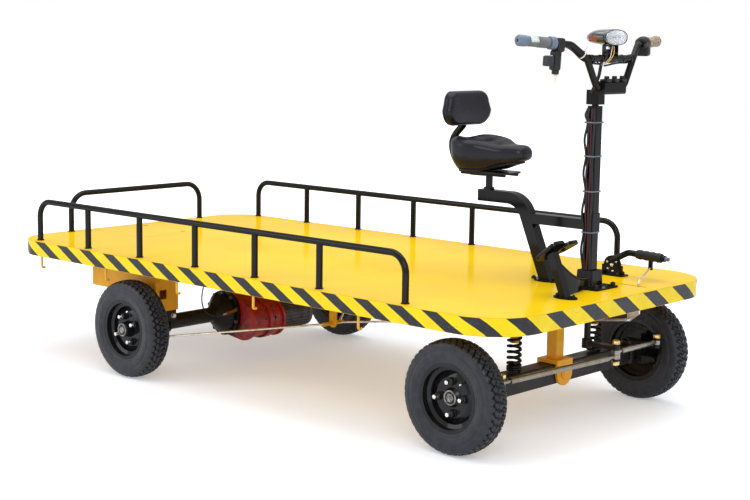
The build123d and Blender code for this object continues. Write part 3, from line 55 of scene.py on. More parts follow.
@dataclass
class Shell:
    """One surface: its points, its four-cornered faces, its flat end caps, and what a pattern follows."""

    points: Array
    quads: Array
    caps: list[list[int]] = field(default_factory=list)
    uvs: Array | None = None
    depth: Array | None = None

    @classmethod
    def grid(cls, grid: Array, wrap_rows: bool = False, wrap_columns: bool = False, capped: bool = False,
             uv: Array | None = None, depth: Array | None = None) -> "Shell":
        """Surface from a grid of points, each face joining four neighbours.

        Args:
            grid: Points in rows and columns, shape (rows, columns, 3).
            wrap_rows: The last row joins the first.
            wrap_columns: The last column joins the first.
            capped: The first and last row are rings that get a flat face.
            uv: Coordinates for the same grid, one row or column longer where it wraps.
            depth: One number for each point, for the material.

        Returns:
            The surface, its faces turned outwards.
        """
        rows, columns = grid.shape[:2]
        index = np.arange(rows * columns).reshape(rows, columns)
        ring_first, ring_last = index[0].tolist(), index[-1][::-1].tolist()
        if wrap_rows:
            index = np.vstack([index, index[:1]])
        if wrap_columns:
            index = np.hstack([index, index[:, :1]])
        corners = [index[:-1, :-1], index[1:, :-1], index[1:, 1:], index[:-1, 1:]]
        quads = np.stack(corners, axis=-1).reshape(-1, 4)
        corner_uv = None
        if uv is not None:
            uv_corners = [uv[:-1, :-1], uv[1:, :-1], uv[1:, 1:], uv[:-1, 1:]]
            corner_uv = np.stack(uv_corners, axis=-2).reshape(-1, 4, 2)
        shell = cls(grid.reshape(-1, 3).astype(float), quads, [ring_first, ring_last] if capped else [],
                    corner_uv, None if depth is None else depth.reshape(-1))
        return shell.outward()

    def outward(self) -> "Shell":
        """Turns the faces outwards, where the volume under them, seen from the middle, comes out negative.

        Returns:
            The surface itself.
        """
        p = self.points - self.points.mean(axis=0)
        a, b, c, d = (p[self.quads[:, k]] for k in range(4))
        volume = np.einsum("ij,ij->", a, np.cross(b, c)) + np.einsum("ij,ij->", a, np.cross(c, d))
        for cap in self.caps:
            fan = p[cap]
            volume += np.einsum("ij,ij->", np.broadcast_to(fan[0], fan[1:-1].shape),
                                np.cross(fan[1:-1], fan[2:]))
        if volume < 0:
            self.quads = self.quads[:, ::-1]
            self.caps = [cap[::-1] for cap in self.caps]
            if self.uvs is not None:
                self.uvs = self.uvs[:, ::-1]
        return self

    def placed(self, origin: Array | tuple, turn: Array | None = None) -> "Shell":
        """A copy, turned and moved.

        Args:
            origin: Where the surface's own zero goes.
            turn: Matrix whose columns its x, y and z run along, or None to leave them.

        Returns:
            The copy, its faces outwards.
        """
        points = self.points if turn is None else self.points @ np.asarray(turn, float).T
        moved = Shell(points + np.asarray(origin, float), self.quads, self.caps, self.uvs, self.depth)
        return moved.outward() if turn is not None and np.linalg.det(turn) < 0 else moved


def unit(vector: Array | tuple) -> Array:
    """The vector at length 1."""
    v = np.asarray(vector, float)
    return v / np.linalg.norm(v)


def axes_along(direction: Array | tuple, up: Array | tuple = (0, 0, 1)) -> Array:
    """Turn whose z column runs along a direction, and whose y column is as near to up as it can be.

    Args:
        direction: Where z points, of any length.
        up: Where y should point. The x axis takes its place where the two are nearly in line.

    Returns:
        Matrix with the three axes as its columns.
    """
    z = unit(direction)
    hint = np.asarray(up, float)
    if abs(np.dot(z, unit(hint))) > 0.95:
        hint = np.array([1.0, 0.0, 0.0])
    x = unit(np.cross(hint, z))
    return np.stack([x, np.cross(z, x), z], axis=1)


def turned(profile: Array | list, segments: int) -> Array:
    """A profile turned round z: (r cos a, r sin a, h).

    Args:
        profile: Its (radius, height) points.
        segments: Steps in one turn.

    Returns:
        Points, one row for each of the profile's and one column for each step.
    """
    points = np.asarray(profile, float)
    angle = np.linspace(0, 2 * np.pi, segments, endpoint=False)
    r, h = points[:, :1], points[:, 1:]
    height = np.broadcast_to(h, (len(points), segments))
    return np.stack([r * np.cos(angle), r * np.sin(angle), height], axis=-1)


def revolved(profile: Array | list, segments: int = 48) -> Shell:
    """An open profile of (radius, height) points turned round z, with flat ends."""
    return Shell.grid(turned(profile, segments), wrap_columns=True, capped=True)


def ring(profile: Array | list, segments: int = 64) -> Shell:
    """A closed profile of (radius, height) points turned round z, as a torus is."""
    return Shell.grid(turned(profile, segments), wrap_rows=True, wrap_columns=True)


def circle(radius: float, sides: int = 12) -> Array:
    """Points of a circle, radius times (cos a, sin a)."""
    angle = np.linspace(0, 2 * np.pi, sides, endpoint=False)
    return radius * np.stack([np.cos(angle), np.sin(angle)], axis=-1)


def bead(radius: float, height: float, thickness: float, sides: int = 10) -> Array:
    """Round section for ring(): a circle of that thickness at a radius and a height."""
    return circle(thickness / 2, sides) + np.array([radius, height])


def tube(path: Array, section: Array | float, scale: Array | float = 1.0, closed: bool = False,
         hint: tuple | None = None, sides: int = 14) -> Shell:
    """A section carried along a path: path(t) + scale(t) (a side(t) + b up(t)).

    Side is the path's direction crossed with a fixed hint, which is the axis that the path runs least along.

    Args:
        path: Points along the middle, shape (n, 3).
        section: Radius of a round section, or its points, shape (m, 2).
        scale: Size of the section along the path.
        closed: The path's end joins its start.
        hint: Fixed direction that the section's first axis is square to.
        sides: Points round a round section.

    Returns:
        The surface, with flat ends unless it is closed.
    """
    path = np.asarray(path, float)
    if closed:
        run = np.roll(path, -1, axis=0) - np.roll(path, 1, axis=0)
    else:
        run = np.gradient(path, axis=0)
    run /= np.linalg.norm(run, axis=1, keepdims=True)
    if hint is None:
        hint = np.eye(3)[np.argmin(np.abs(run).max(axis=0))]
    side = np.cross(run, np.asarray(hint, float))
    side /= np.linalg.norm(side, axis=1, keepdims=True)
    up = np.cross(side, run)
    profile = circle(section, sides) if np.isscalar(section) else np.asarray(section, float)
    size = np.broadcast_to(np.asarray(scale, float), (len(path),))[:, None, None]
    grid = path[:, None] + size * (profile[:, :1] * side[:, None] + profile[:, 1:] * up[:, None])
    return Shell.grid(grid, wrap_rows=closed, wrap_columns=True, capped=not closed)


def smooth_path(points: Array | list, steps: int = 12, closed: bool = False) -> Array:
    """A smooth line: on each run, the cubic whose slope at a point is half its neighbours' step.

    Args:
        points: Points that the line passes.
        steps: Points on each run from one of them to the next.
        closed: The line comes back to its first point.

    Returns:
        Points of the line, with its last one unless it is closed.
    """
    p = np.asarray(points, float)
    if closed:
        p = np.vstack([p[-1:], p, p[:2]])
    else:
        p = np.vstack([2 * p[0] - p[1], p, 2 * p[-1] - p[-2]])
    a, b, c, d = (p[k:len(p) - 3 + k, None] for k in range(4))
    t = np.linspace(0, 1, steps, endpoint=False)[None, :, None]
    square, cube = 2 * a - 5 * b + 4 * c - d, 3 * b - a - 3 * c + d
    line = 0.5 * (2 * b + (c - a) * t + square * t ** 2 + cube * t ** 3)
    line = line.reshape(-1, p.shape[1])
    return line if closed else np.vstack([line, p[-2:-1]])


def evenly(path: Array, count: int, closed: bool = False) -> Array:
    """The same line with its points at equal steps of length.

    Args:
        path: Points of the line.
        count: Number of points wanted.
        closed: The line comes back to its first point.

    Returns:
        The new points.
    """
    line = np.vstack([path, path[:1]]) if closed else path
    length = np.concatenate([[0], np.cumsum(np.linalg.norm(np.diff(line, axis=0), axis=1))])
    at = np.linspace(0, length[-1], count, endpoint=not closed)
    return np.stack([np.interp(at, length, line[:, k]) for k in range(line.shape[1])], axis=-1)


def smoothstep(value: Array | float, low: float, high: float) -> Array:
    """0 below low, 1 above high, and 3t^2 - 2t^3 between them."""
    t = np.clip((np.asarray(value, float) - low) / (high - low), 0, 1)
    return t * t * (3 - 2 * t)


def falling(value: Array | float, low: float, high: float) -> Array:
    """1 below low and 0 above high: 1 less smoothstep."""
    return 1 - smoothstep(value, low, high)


def off_middle(turns: Array) -> Array:
    """How far a count of turns is from the middle of its turn, 0 to 0.5."""
    return np.abs((turns % 1) - 0.5)


def rounded_box(size: tuple, radius: float, steps: int = 5) -> Shell:
    """A box with rounded edges: a rounded rectangle drawn in at top and bottom along a quarter circle.

    Args:
        size: Its three sides, its middle at zero.
        radius: Radius of the edges, held just under half the shortest side.
        steps: Points round a quarter circle.

    Returns:
        The surface.
    """
    x, y, z = (s / 2 for s in size)
    radius = min(radius, 0.98 * min(x, y, z))
    turn = np.linspace(0, np.pi / 2, steps)
    inset = np.concatenate([[radius], radius * (1 - np.sin(turn)), radius * (1 - np.cos(turn)), [radius]])
    height = np.concatenate([[-z], -z + radius * (1 - np.cos(turn)), z - radius + radius * np.sin(turn), [z]])
    corner = np.linspace(0, np.pi / 2, steps)
    angle = (corner[None] + np.arange(4)[:, None] * np.pi / 2).reshape(-1)
    sign_x = np.repeat([1, -1, -1, 1], steps)
    sign_y = np.repeat([1, 1, -1, -1], steps)
    reach = radius - inset[:, None] + 1e-3
    grid = np.stack([
        sign_x * (x - radius) + reach * np.cos(angle), sign_y * (y - radius) + reach * np.sin(angle),
        np.broadcast_to(height[:, None], (len(height), len(angle)))], axis=-1)
    return Shell.grid(grid, wrap_columns=True, capped=True)


def hexagon(across: float, height: float) -> Shell:
    """Hexagonal head on z = 0: a circle whose radius at an angle reaches the nearest flat, chamfered on top.

    Args:
        across: Width from flat to flat.
        height: Height of the head.

    Returns:
        The surface.
    """
    angle = np.linspace(0, 2 * np.pi, 36, endpoint=False)
    flat = across / 2 / np.cos((angle % (np.pi / 3)) - np.pi / 6)
    inner = np.full_like(angle, 0.05 * across)
    round_top = np.minimum(flat, 0.52 * across)
    radii = np.stack([inner, flat, flat, round_top, 0.9 * round_top, inner])
    heights = np.array([0, 0, 0.86 * height, height - 0.04 * across, height, height])
    grid = np.stack([radii * np.cos(angle), radii * np.sin(angle),
                     np.broadcast_to(heights[:, None], radii.shape)], axis=-1)
    return Shell.grid(grid, wrap_columns=True, capped=True)


def thread(radius: float, length: float, pitch: float = 1.75) -> Shell:
    """Threaded stud end on z = 0: a rod whose radius rises and falls with each pitch, domed at its tip.

    Args:
        radius: Radius over the thread.
        length: Length with the dome.
        pitch: Rise of one turn of the thread.

    Returns:
        The surface.
    """
    turns = max(2, int(length / pitch))
    h = np.linspace(0, length - 0.25 * radius, 4 * turns + 1)
    r = radius - 0.35 * (1 - np.cos(2 * np.pi * h / pitch)) / 2
    profile = np.concatenate([np.stack([r, h], axis=-1),
                              [(0.86 * radius, length - 0.12 * radius), (0.5 * radius, length),
                               (0.05, length)]])
    return revolved(profile, 20)


def washer(radius: float, thickness: float, bore: float = 0.4) -> Shell:
    """Flat ring on z = 0 with eased edges."""
    ease = 0.3 * thickness
    return revolved([(bore, 0), (radius - ease, 0), (radius, ease), (radius, thickness - ease),
                     (radius - ease, thickness), (bore, thickness)], 32)


def bolts(spots: list | Array, direction: tuple, across: float, height: float,
          stud: float = 0.0) -> list[Shell]:
    """Washer, hexagon and, where asked, a threaded end, at each spot on a face.

    Args:
        spots: Points on the face.
        direction: Where the face looks.
        across: Width of the hexagon from flat to flat, which the washer and the thread go with.
        height: Height of the hexagon.
        stud: How far the thread stands out of it, or 0 for none.

    Returns:
        The surfaces.
    """
    turn = axes_along(direction)
    rise = np.asarray(unit(direction))
    out: list[Shell] = []
    for k, spot in enumerate(np.atleast_2d(spots)):
        twist = Matrix.Rotation(0.7 * k, 3, "Z")
        spun = turn @ np.array(twist)
        out.append(washer(0.62 * across, 0.14 * across).placed(spot, turn))
        out.append(hexagon(across, height).placed(spot + 0.14 * across * rise, spun))
        if stud:
            out.append(thread(0.29 * across, height + stud).placed(spot + 0.1 * across * rise, turn))
    return out


def weld_ring(centre: tuple, direction: tuple, radius: float, thickness: float = 5.0,
              ripples: int = 30) -> Shell:
    """Weld bead round a rod: a ring whose thickness swells and shrinks as it goes round.

    Args:
        centre: Middle of the ring.
        direction: The rod's direction.
        radius: Radius of the bead's middle line.
        thickness: Thickness of the bead.
        ripples: Swellings in one turn.

    Returns:
        The surface.
    """
    angle = np.linspace(0, 2 * np.pi, 3 * ripples, endpoint=False)
    size = 1 + 0.13 * np.sin(ripples * angle) + 0.08 * np.sin(5 * angle + 1)
    path = np.stack([radius * np.cos(angle), radius * np.sin(angle), np.zeros_like(angle)], axis=-1)
    shell = tube(path, thickness / 2, size, closed=True, hint=(0, 0, 1), sides=8)
    return shell.placed(centre, axes_along(direction))


def weld_line(start: tuple, end: tuple, thickness: float = 5.0) -> Shell:
    """Weld bead along an edge, rippled every few millimetres.

    Args:
        start: One end of the edge.
        end: Its other end.
        thickness: Thickness of the bead.

    Returns:
        The surface.
    """
    a, b = np.asarray(start, float), np.asarray(end, float)
    length = float(np.linalg.norm(b - a))
    t = np.linspace(0, 1, max(8, int(length / 1.2)))
    ripple = 1 + 0.14 * np.sin(2 * np.pi * t * length / 4.2)
    size = ripple * smoothstep(np.minimum(t, 1 - t) * length, -2, 4)
    return tube(a + t[:, None] * (b - a), thickness / 2, size, sides=8)


def linear(colour: Colour) -> tuple[float, float, float, float]:
    """A screen colour as the light that it stands for.

    Args:
        colour: Red, green and blue, each from 0 to 1.

    Returns:
        The same three as light, and 1 for opaque.
    """
    c = np.asarray(colour, float)
    light = np.where(c <= 0.04045, c / 12.92, ((c + 0.055) / 1.055) ** 2.4)
    return (*light.tolist(), 1.0)


class Shader:
    """A material's node tree, filled in by short calls."""

    def __init__(self, name: str) -> None:
        """Starts a material with a Principled shader and the object's own coordinates.

        Args:
            name: Name of the material.
        """
        self.material = bpy.data.materials.new(name)
        self.material.use_nodes = True
        self.tree = self.material.node_tree
        self.surface = self.tree.nodes["Principled BSDF"]
        self.place = self.node("TexCoord").outputs["Object"]

    def node(self, kind: str, settings: dict | None = None, **inputs: object) -> bpy.types.Node:
        """Adds a node.

        Args:
            kind: Its type, without ShaderNode before it.
            settings: Its properties.
            inputs: Values or sockets for its inputs, whose names are written with _ for a space.

        Returns:
            The node.
        """
        made = self.tree.nodes.new("ShaderNode" + kind)
        for key, value in (settings or {}).items():
            setattr(made, key, value)
        for key, value in inputs.items():
            self.feed(made.inputs[key.replace("_", " ")], value)
        return made

    def feed(self, socket: bpy.types.NodeSocket, value: object) -> None:
        """Links a socket into another, or writes a value into it."""
        if isinstance(value, bpy.types.NodeSocket):
            self.tree.links.new(value, socket)
        else:
            socket.default_value = value

    def set(self, **values: object) -> None:
        """Inputs of the Principled shader, whose names are written with _ for a space."""
        for key, value in values.items():
            self.feed(self.surface.inputs[key.replace("_", " ")], value)

    def noise(self, size: float, detail: float = 2.0, stretch: tuple | None = None,
              roughness: float = 0.5) -> bpy.types.NodeSocket:
        """Noise over the object.

        Args:
            size: About how many millimetres across its blobs are.
            detail: Number of finer layers on top.
            stretch: How much it is drawn out along x, y and z.
            roughness: Weight of the finer layers.

        Returns:
            Socket with the noise.
        """
        place = self.place
        if stretch is not None:
            place = self.node("Mapping", {"vector_type": "POINT"}, Vector=place,
                              Scale=tuple(1 / s for s in stretch)).outputs["Vector"]
        return self.node("TexNoise", Vector=place, Scale=1 / (size * MM), Detail=detail,
                         Roughness=roughness).outputs["Fac"]

    def span(self, value: object, low: float, high: float, to_low: float = 0.0,
             to_high: float = 1.0) -> bpy.types.NodeSocket:
        """A value mapped from one range to another, and held at its ends."""
        return self.node("MapRange", {"clamp": True}, Value=value, From_Min=low, From_Max=high,
                         To_Min=to_low, To_Max=to_high).outputs["Result"]

    def drift(self, size: float, detail: float, low: float, high: float) -> bpy.types.NodeSocket:
        """Noise whose usual range, 0.3 to 0.7, is mapped to the one from low to high."""
        return self.span(self.noise(size, detail), 0.3, 0.7, low, high)

    def mix(self, factor: object, first: object, second: object) -> bpy.types.NodeSocket:
        """Colour between two colours.

        Args:
            factor: 0 for the first and 1 for the second.
            first: A colour or a socket.
            second: A colour or a socket.

        Returns:
            Socket with the colour.
        """
        made = self.tree.nodes.new("ShaderNodeMix")
        made.data_type = "RGBA"
        self.feed(made.inputs[0], factor)
        for socket, value in ((made.inputs[6], first), (made.inputs[7], second)):
            self.feed(socket, linear(value) if isinstance(value, tuple) else value)
        return made.outputs[2]

    def math(self, operation: str, *values: object) -> bpy.types.NodeSocket:
        """One sum of the Math node.

        Args:
            operation: Its name, such as MULTIPLY.
            values: Numbers or sockets for its inputs.

        Returns:
            Socket with the result.
        """
        made = self.node("Math", {"operation": operation})
        for socket, value in zip(made.inputs, values):
            self.feed(socket, value)
        return made.outputs[0]

    def bump(self, height: object, depth: float, strength: float = 1.0,
             normal: bpy.types.NodeSocket | None = None) -> bpy.types.NodeSocket:
        """Bump of the surface.

        Args:
            height: Socket with the height.
            depth: What a height of 1 stands for, in millimetres.
            strength: Share of the bump, 0 to 1.
            normal: Bump that this one lies on.

        Returns:
            Socket with the bumped normal.
        """
        made = self.node("Bump", Height=height, Distance=depth * MM, Strength=strength)
        if normal is not None:
            self.feed(made.inputs["Normal"], normal)
        return made.outputs["Normal"]


@dataclass(frozen=True)
class Coating:
    """What every finish has: a name, and a material that is made when it is first asked for."""

    name: str

    def dress(self, s: Shader) -> None:
        """Fills in the material's nodes, in each kind of finish its own way."""
        raise NotImplementedError

    def material(self) -> bpy.types.Material:
        """The finish's material, built once.

        Returns:
            The material.
        """
        if self.name not in bpy.data.materials:
            self.dress(Shader(self.name))
        return bpy.data.materials[self.name]


@dataclass(frozen=True)
class Enamel(Coating):
    """Sprayed paint on metal: faint clouds in its colour, orange peel, worn specks and rubbed-on dust."""

    colour: Colour
    cloud: Colour
    roughness: float = 0.3
    coat: float = 0.0
    peel: float = 0.06
    specks: float = 0.5
    speck_colour: Colour = (0.2, 0.18, 0.16)
    dust: float = 0.0
    dust_colour: Colour = (0.55, 0.5, 0.43)
    shine: float = 0.5

    def dress(self, s: Shader) -> None:
        """Fills in the material's nodes.

        Args:
            s: The new material.
        """
        clouds = s.noise(160, 3)
        colour = s.mix(s.span(clouds, 0.35, 0.65), self.colour, self.cloud)
        film = s.math("MULTIPLY", s.span(s.noise(45, 5), 0.42, 0.72), self.dust)
        colour = s.mix(film, colour, self.dust_colour)
        speck = s.math("MULTIPLY", s.span(s.noise(5.5, 4, roughness=0.7), 0.70, 0.735), self.specks)
        colour = s.mix(speck, colour, self.speck_colour)
        rough = s.drift(60, 4, self.roughness - 0.05, self.roughness + 0.08)
        rough = s.math("ADD", rough, s.math("MULTIPLY", film, 0.4))
        peel = s.bump(s.noise(2.4, 2), self.peel, 0.5)
        s.set(Base_Color=colour, Roughness=rough, Coat_Weight=self.coat, Coat_Roughness=0.08,
              Specular_IOR_Level=self.shine,
              Normal=s.bump(s.math("MULTIPLY", speck, -1.0), 0.12, 0.6, peel))


@dataclass(frozen=True)
class CastIron(Coating):
    """Painted casting: a sand-cast grain under the paint, with oil-dark hollows."""

    colour: Colour
    stain: Colour
    roughness: float = 0.42

    def dress(self, s: Shader) -> None:
        """Fills in the material's nodes.

        Args:
            s: The new material.
        """
        stain = s.span(s.noise(38, 5, roughness=0.65), 0.46, 0.68)
        grain = s.noise(2.2, 3, roughness=0.7)
        s.set(Base_Color=s.mix(stain, self.colour, self.stain),
              Roughness=s.drift(14, 3, self.roughness - 0.1, self.roughness + 0.15),
              Normal=s.bump(grain, 0.5, 0.5, s.bump(s.noise(26, 2), 1.6, 0.35)))


@dataclass(frozen=True)
class BareMetal(Coating):
    """Plated or brushed metal: fine lines along one axis, and a cloudy, slightly yellowed plating."""

    colour: Colour
    tarnish: Colour
    roughness: float = 0.28
    lines: tuple = (1.0, 1.0, 1.0)

    def dress(self, s: Shader) -> None:
        """Fills in the material's nodes.

        Args:
            s: The new material.
        """
        tarnish = s.span(s.noise(18, 5, roughness=0.6), 0.4, 0.66)
        line = s.noise(1.3, 3, self.lines)
        s.set(Base_Color=s.mix(tarnish, self.colour, self.tarnish), Metallic=1.0,
              Roughness=s.span(line, 0.3, 0.7, self.roughness - 0.08, self.roughness + 0.14),
              Normal=s.bump(line, 0.05, 0.4))


@dataclass(frozen=True)
class Moulded(Coating):
    """Moulded plastic or rubber: a fine spark-eroded grain, and dust in its colour."""

    colour: Colour
    second: Colour
    grain: float = 0.9
    grain_depth: float = 0.08
    cloud: float = 30.0
    roughness: float = 0.5

    def dress(self, s: Shader) -> None:
        """Fills in the material's nodes.

        Args:
            s: The new material.
        """
        s.set(Base_Color=s.mix(s.span(s.noise(self.cloud, 5), 0.38, 0.7), self.colour, self.second),
              Roughness=s.drift(9, 3, self.roughness - 0.06, self.roughness + 0.1),
              Specular_IOR_Level=0.3,
              Normal=s.bump(s.noise(self.grain, 2), self.grain_depth, 0.7))


@dataclass(frozen=True)
class Upholstery(Coating):
    """Vinyl over foam: a pebbled grain of small cells, and fine creases."""

    colour: Colour
    second: Colour

    def dress(self, s: Shader) -> None:
        """Fills in the material's nodes.

        Args:
            s: The new material.
        """
        cells = s.node("TexVoronoi", {"feature": "DISTANCE_TO_EDGE"}, Vector=s.place, Scale=1 / (1.5 * MM),
                       Randomness=0.9).outputs["Distance"]
        pebble = s.span(cells, 0.0, 0.35)
        s.set(Base_Color=s.mix(s.span(s.noise(55, 4), 0.35, 0.7), self.colour, self.second),
              Roughness=0.6, Specular_IOR_Level=0.0,
              Coat_Weight=0.4, Coat_Roughness=s.drift(7, 4, 0.2, 0.3),
              Normal=s.bump(pebble, 0.11, 0.55, s.bump(s.noise(24, 3), 0.5, 0.25)))


@dataclass(frozen=True)
class TyreRubber(Coating):
    """Tyre rubber: its own depth attribute darkens the grooves with painted shade and dusts the worn tops."""

    colour: Colour
    # Colour of the painted shade in the grooves
    groove_and_shade: Colour
    dust: Colour

    def dress(self, s: Shader) -> None:
        """Fills in the material's nodes.

        Args:
            s: The new material.
        """
        depth = s.node("Attribute", {"attribute_name": "depth"}).outputs["Fac"]
        dust = s.math("MULTIPLY", s.span(s.noise(24, 5, roughness=0.65), 0.4, 0.7),
                      s.span(depth, 0.0, 0.45, 0.75, 0.15))
        # Painted shade darkens the grooves, more where they are deeper; the dust is real and heaviest on the
        # worn tops
        colour = s.mix(dust, s.mix(depth, self.colour, self.groove_and_shade), self.dust)
        s.set(Base_Color=colour, Roughness=s.drift(12, 4, 0.34, 0.5),
              Specular_IOR_Level=0.3,
              Normal=s.bump(s.noise(0.9, 3), 0.16, 0.5, s.bump(s.noise(7, 3), 0.35, 0.3)))


@dataclass(frozen=True)
class HazardTape(Coating):
    """Black and yellow tape: its UV holds the stripe's count along the band and the height across it."""

    yellow: Colour
    black: Colour
    black_share: float

    def dress(self, s: Shader) -> None:
        """Fills in the material's nodes.

        Args:
            s: The new material.
        """
        across = s.node("SeparateXYZ", Vector=s.node("UVMap", {"uv_map": "tape"}).outputs["UV"])
        wobble = s.math("MULTIPLY", s.math("SUBTRACT", s.noise(26, 2), 0.5), 0.035)
        phase = s.math("FRACT", s.math("ADD", across.outputs["X"], wobble))
        edge = 0.006
        rise = s.span(phase, 0.0, edge)
        fall = s.span(phase, self.black_share, self.black_share + edge, 1.0, 0.0)
        dark = s.math("MULTIPLY", rise, fall)
        faded = s.mix(s.span(s.noise(70, 4), 0.35, 0.7), self.yellow, tuple(0.95 * c for c in self.yellow))
        worn = s.mix(s.span(s.noise(18, 5, roughness=0.7), 0.45, 0.75), self.black,
                     tuple(c + 0.06 for c in self.black))
        colour = s.mix(dark, faded, worn)
        scuff = s.math("MULTIPLY", s.span(s.noise(3.5, 4, (8, 8, 1)), 0.66, 0.72), 0.35)
        colour = s.mix(scuff, colour, (0.5, 0.44, 0.28))
        s.set(Base_Color=colour, Roughness=s.drift(30, 3, 0.32, 0.46), Specular_IOR_Level=0.25,
              Normal=s.bump(dark, 0.12, 0.5, s.bump(s.noise(16, 3), 0.5, 0.25)))


@dataclass(frozen=True)
class DeckPaint(Coating):
    """Yellow enamel on the deck: broad clouds, fine scuffs along and across it, and rubbed heel marks."""

    colour: Colour
    cloud: Colour

    def dress(self, s: Shader) -> None:
        """Fills in the material's nodes.

        Args:
            s: The new material.
        """
        colour = s.mix(s.span(s.noise(420, 3), 0.35, 0.68), self.colour, self.cloud)
        long_scuff = s.span(s.noise(4, 3, (34, 1.4, 1)), 0.655, 0.70)
        cross_scuff = s.span(s.noise(3.2, 3, (1.2, 26, 1)), 0.665, 0.71)
        patch = s.span(s.noise(260, 3), 0.5, 0.72)
        scuff = s.math("MULTIPLY", s.math("MAXIMUM", long_scuff, cross_scuff),
                       s.math("MULTIPLY", patch, 0.28))
        colour = s.mix(scuff, colour, (0.62, 0.47, 0.18))
        fleck = s.math("MULTIPLY", s.span(s.noise(4.5, 4, roughness=0.7), 0.715, 0.74), 0.5)
        colour = s.mix(fleck, colour, (0.42, 0.33, 0.16))
        rough = s.drift(90, 5, 0.26, 0.4)
        s.set(Base_Color=colour, Roughness=s.math("ADD", rough, s.math("MULTIPLY", scuff, 0.5)),
              Specular_IOR_Level=0.0, Coat_Weight=0.3, Coat_Roughness=0.16,
              Normal=s.bump(s.noise(2.2, 2), 0.05, 0.4, s.bump(s.noise(340, 2), 5.0, 0.12)))


@dataclass(frozen=True)
class ClearPlastic(Coating):
    """Clear or tinted lamp plastic: shader transmission with a little haze."""

    tint: Colour
    roughness: float = 0.06
    transmission: float = 0.92

    def dress(self, s: Shader) -> None:
        """Fills in the material's nodes.

        Args:
            s: The new material.
        """
        s.set(Base_Color=linear(self.tint), IOR=1.46, Transmission_Weight=self.transmission,
              Roughness=s.span(s.noise(20, 4), 0.3, 0.75, self.roughness, self.roughness + 0.06),
              Normal=s.bump(s.noise(9, 2), 0.1, 0.3))


class Finish(Enum):
    """The cart's finishes, one for each material slot of the record and a few for small parts."""

    DECK = DeckPaint("deck_yellow_finish", (0.945, 0.785, 0.05), (0.915, 0.735, 0.04))
    TAPE = HazardTape("hazard_tape_finish", (0.98, 0.86, 0.06), (0.145, 0.147, 0.17), 0.46)
    SKIRT = Enamel("skirt_yellow_finish", (0.93, 0.70, 0.10), (0.88, 0.63, 0.08), 0.35)
    FRAME = Enamel("frame_yellow_finish", (0.97, 0.72, 0.07), (0.92, 0.64, 0.04), 0.36, dust=0.04, shine=0.25)
    BLACK = Enamel("gloss_black_finish", (0.06, 0.06, 0.065), (0.085, 0.085, 0.09), 0.3, 0.35, specks=0.15,
                   shine=0.0)
    AXLE = Enamel("axle_black_finish", (0.12, 0.105, 0.10), (0.085, 0.075, 0.07), 0.4, specks=0.6,
                  speck_colour=(0.30, 0.22, 0.17), dust=0.2, dust_colour=(0.28, 0.24, 0.21), shine=0.2)
    GEAR = CastIron("gear_red_finish", (0.74, 0.15, 0.14), (0.34, 0.06, 0.06))
    MOTOR = CastIron("motor_grey_finish", (0.33, 0.32, 0.33), (0.17, 0.16, 0.16), 0.5)
    SPRING = Enamel("spring_black_finish", (0.07, 0.07, 0.075), (0.10, 0.095, 0.09), 0.3, 0.3, shine=0.0)
    ZINC = BareMetal("zinc_steel_finish", (0.90, 0.88, 0.85), (0.76, 0.71, 0.62), 0.36, (10, 1, 1))
    BRIGHT = BareMetal("bright_steel_finish", (0.90, 0.90, 0.90), (0.78, 0.77, 0.75), 0.16)
    ROD = BareMetal("rod_steel_finish", (0.56, 0.54, 0.50), (0.50, 0.47, 0.42), 0.24)
    PLATED = BareMetal("plated_gold_finish", (0.90, 0.80, 0.54), (0.74, 0.62, 0.36), 0.3)
    GREASY = BareMetal("greasy_steel_finish", (0.62, 0.60, 0.58), (0.25, 0.23, 0.22), 0.4)
    # Rubber, painted shade for the grooves, and dust
    TYRE = TyreRubber("tyre_rubber_finish", (0.13, 0.138, 0.168), (0.025, 0.025, 0.03), (0.22, 0.22, 0.225))
    RIM = Enamel("wheel_black_finish", (0.06, 0.06, 0.07), (0.09, 0.09, 0.10), 0.25, 0.5, specks=0.3,
                 dust=0.12, dust_colour=(0.3, 0.29, 0.28), shine=0.0)
    LAMP_SHELL = Enamel("lamp_black_finish", (0.05, 0.045, 0.075), (0.07, 0.06, 0.12), 0.1, 0.6, specks=0.0,
                        shine=0.5)
    SLATE = Moulded("slate_plastic_finish", (0.44, 0.49, 0.57), (0.36, 0.41, 0.49), roughness=0.35)
    WINDOW = Moulded("gauge_window_finish", (0.82, 0.87, 0.83), (0.74, 0.80, 0.77), roughness=0.3)
    TIE = Moulded("tie_white_finish", (0.88, 0.88, 0.87), (0.80, 0.80, 0.79), roughness=0.4)
    CABLE = Moulded("cable_black_finish", (0.09, 0.085, 0.10), (0.14, 0.12, 0.15), roughness=0.42)
    CABLE_RED = Moulded("cable_red_finish", (0.30, 0.07, 0.08), (0.20, 0.05, 0.06), roughness=0.42)
    WIRE_YELLOW = Moulded("wire_yellow_finish", (0.93, 0.70, 0.10), (0.85, 0.60, 0.08), roughness=0.4)
    BRASS = BareMetal("fitting_brass_finish", (0.80, 0.62, 0.32), (0.55, 0.40, 0.20), 0.3)
    VINYL = Upholstery("saddle_vinyl_finish", (0.125, 0.122, 0.16), (0.10, 0.097, 0.125))
    PLASTIC = Moulded("black_plastic_finish", (0.09, 0.09, 0.10), (0.13, 0.125, 0.125))
    GRIP = Moulded("grip_grey_finish", (0.45, 0.46, 0.47), (0.36, 0.37, 0.39), 1.2, 0.15)
    FOAM = Moulded("grip_brown_finish", (0.76, 0.68, 0.58), (0.22, 0.16, 0.12), 1.6, 0.35, 6.0, 0.6)
    PEDAL = Moulded("pedal_rubber_finish", (0.12, 0.11, 0.105), (0.35, 0.26, 0.19), 1.1, 0.12, 24.0, 0.6)
    BATTERY = Moulded("battery_case_finish", (0.16, 0.17, 0.20), (0.21, 0.21, 0.22))
    LENS = ClearPlastic("lens_clear_finish", (0.97, 0.98, 1.0))
    AMBER = ClearPlastic("lens_amber_finish", (0.80, 0.36, 0.06), 0.12, 0.6)

    def material(self) -> bpy.types.Material:
        """The finish's Blender material."""
        return self.value.material()


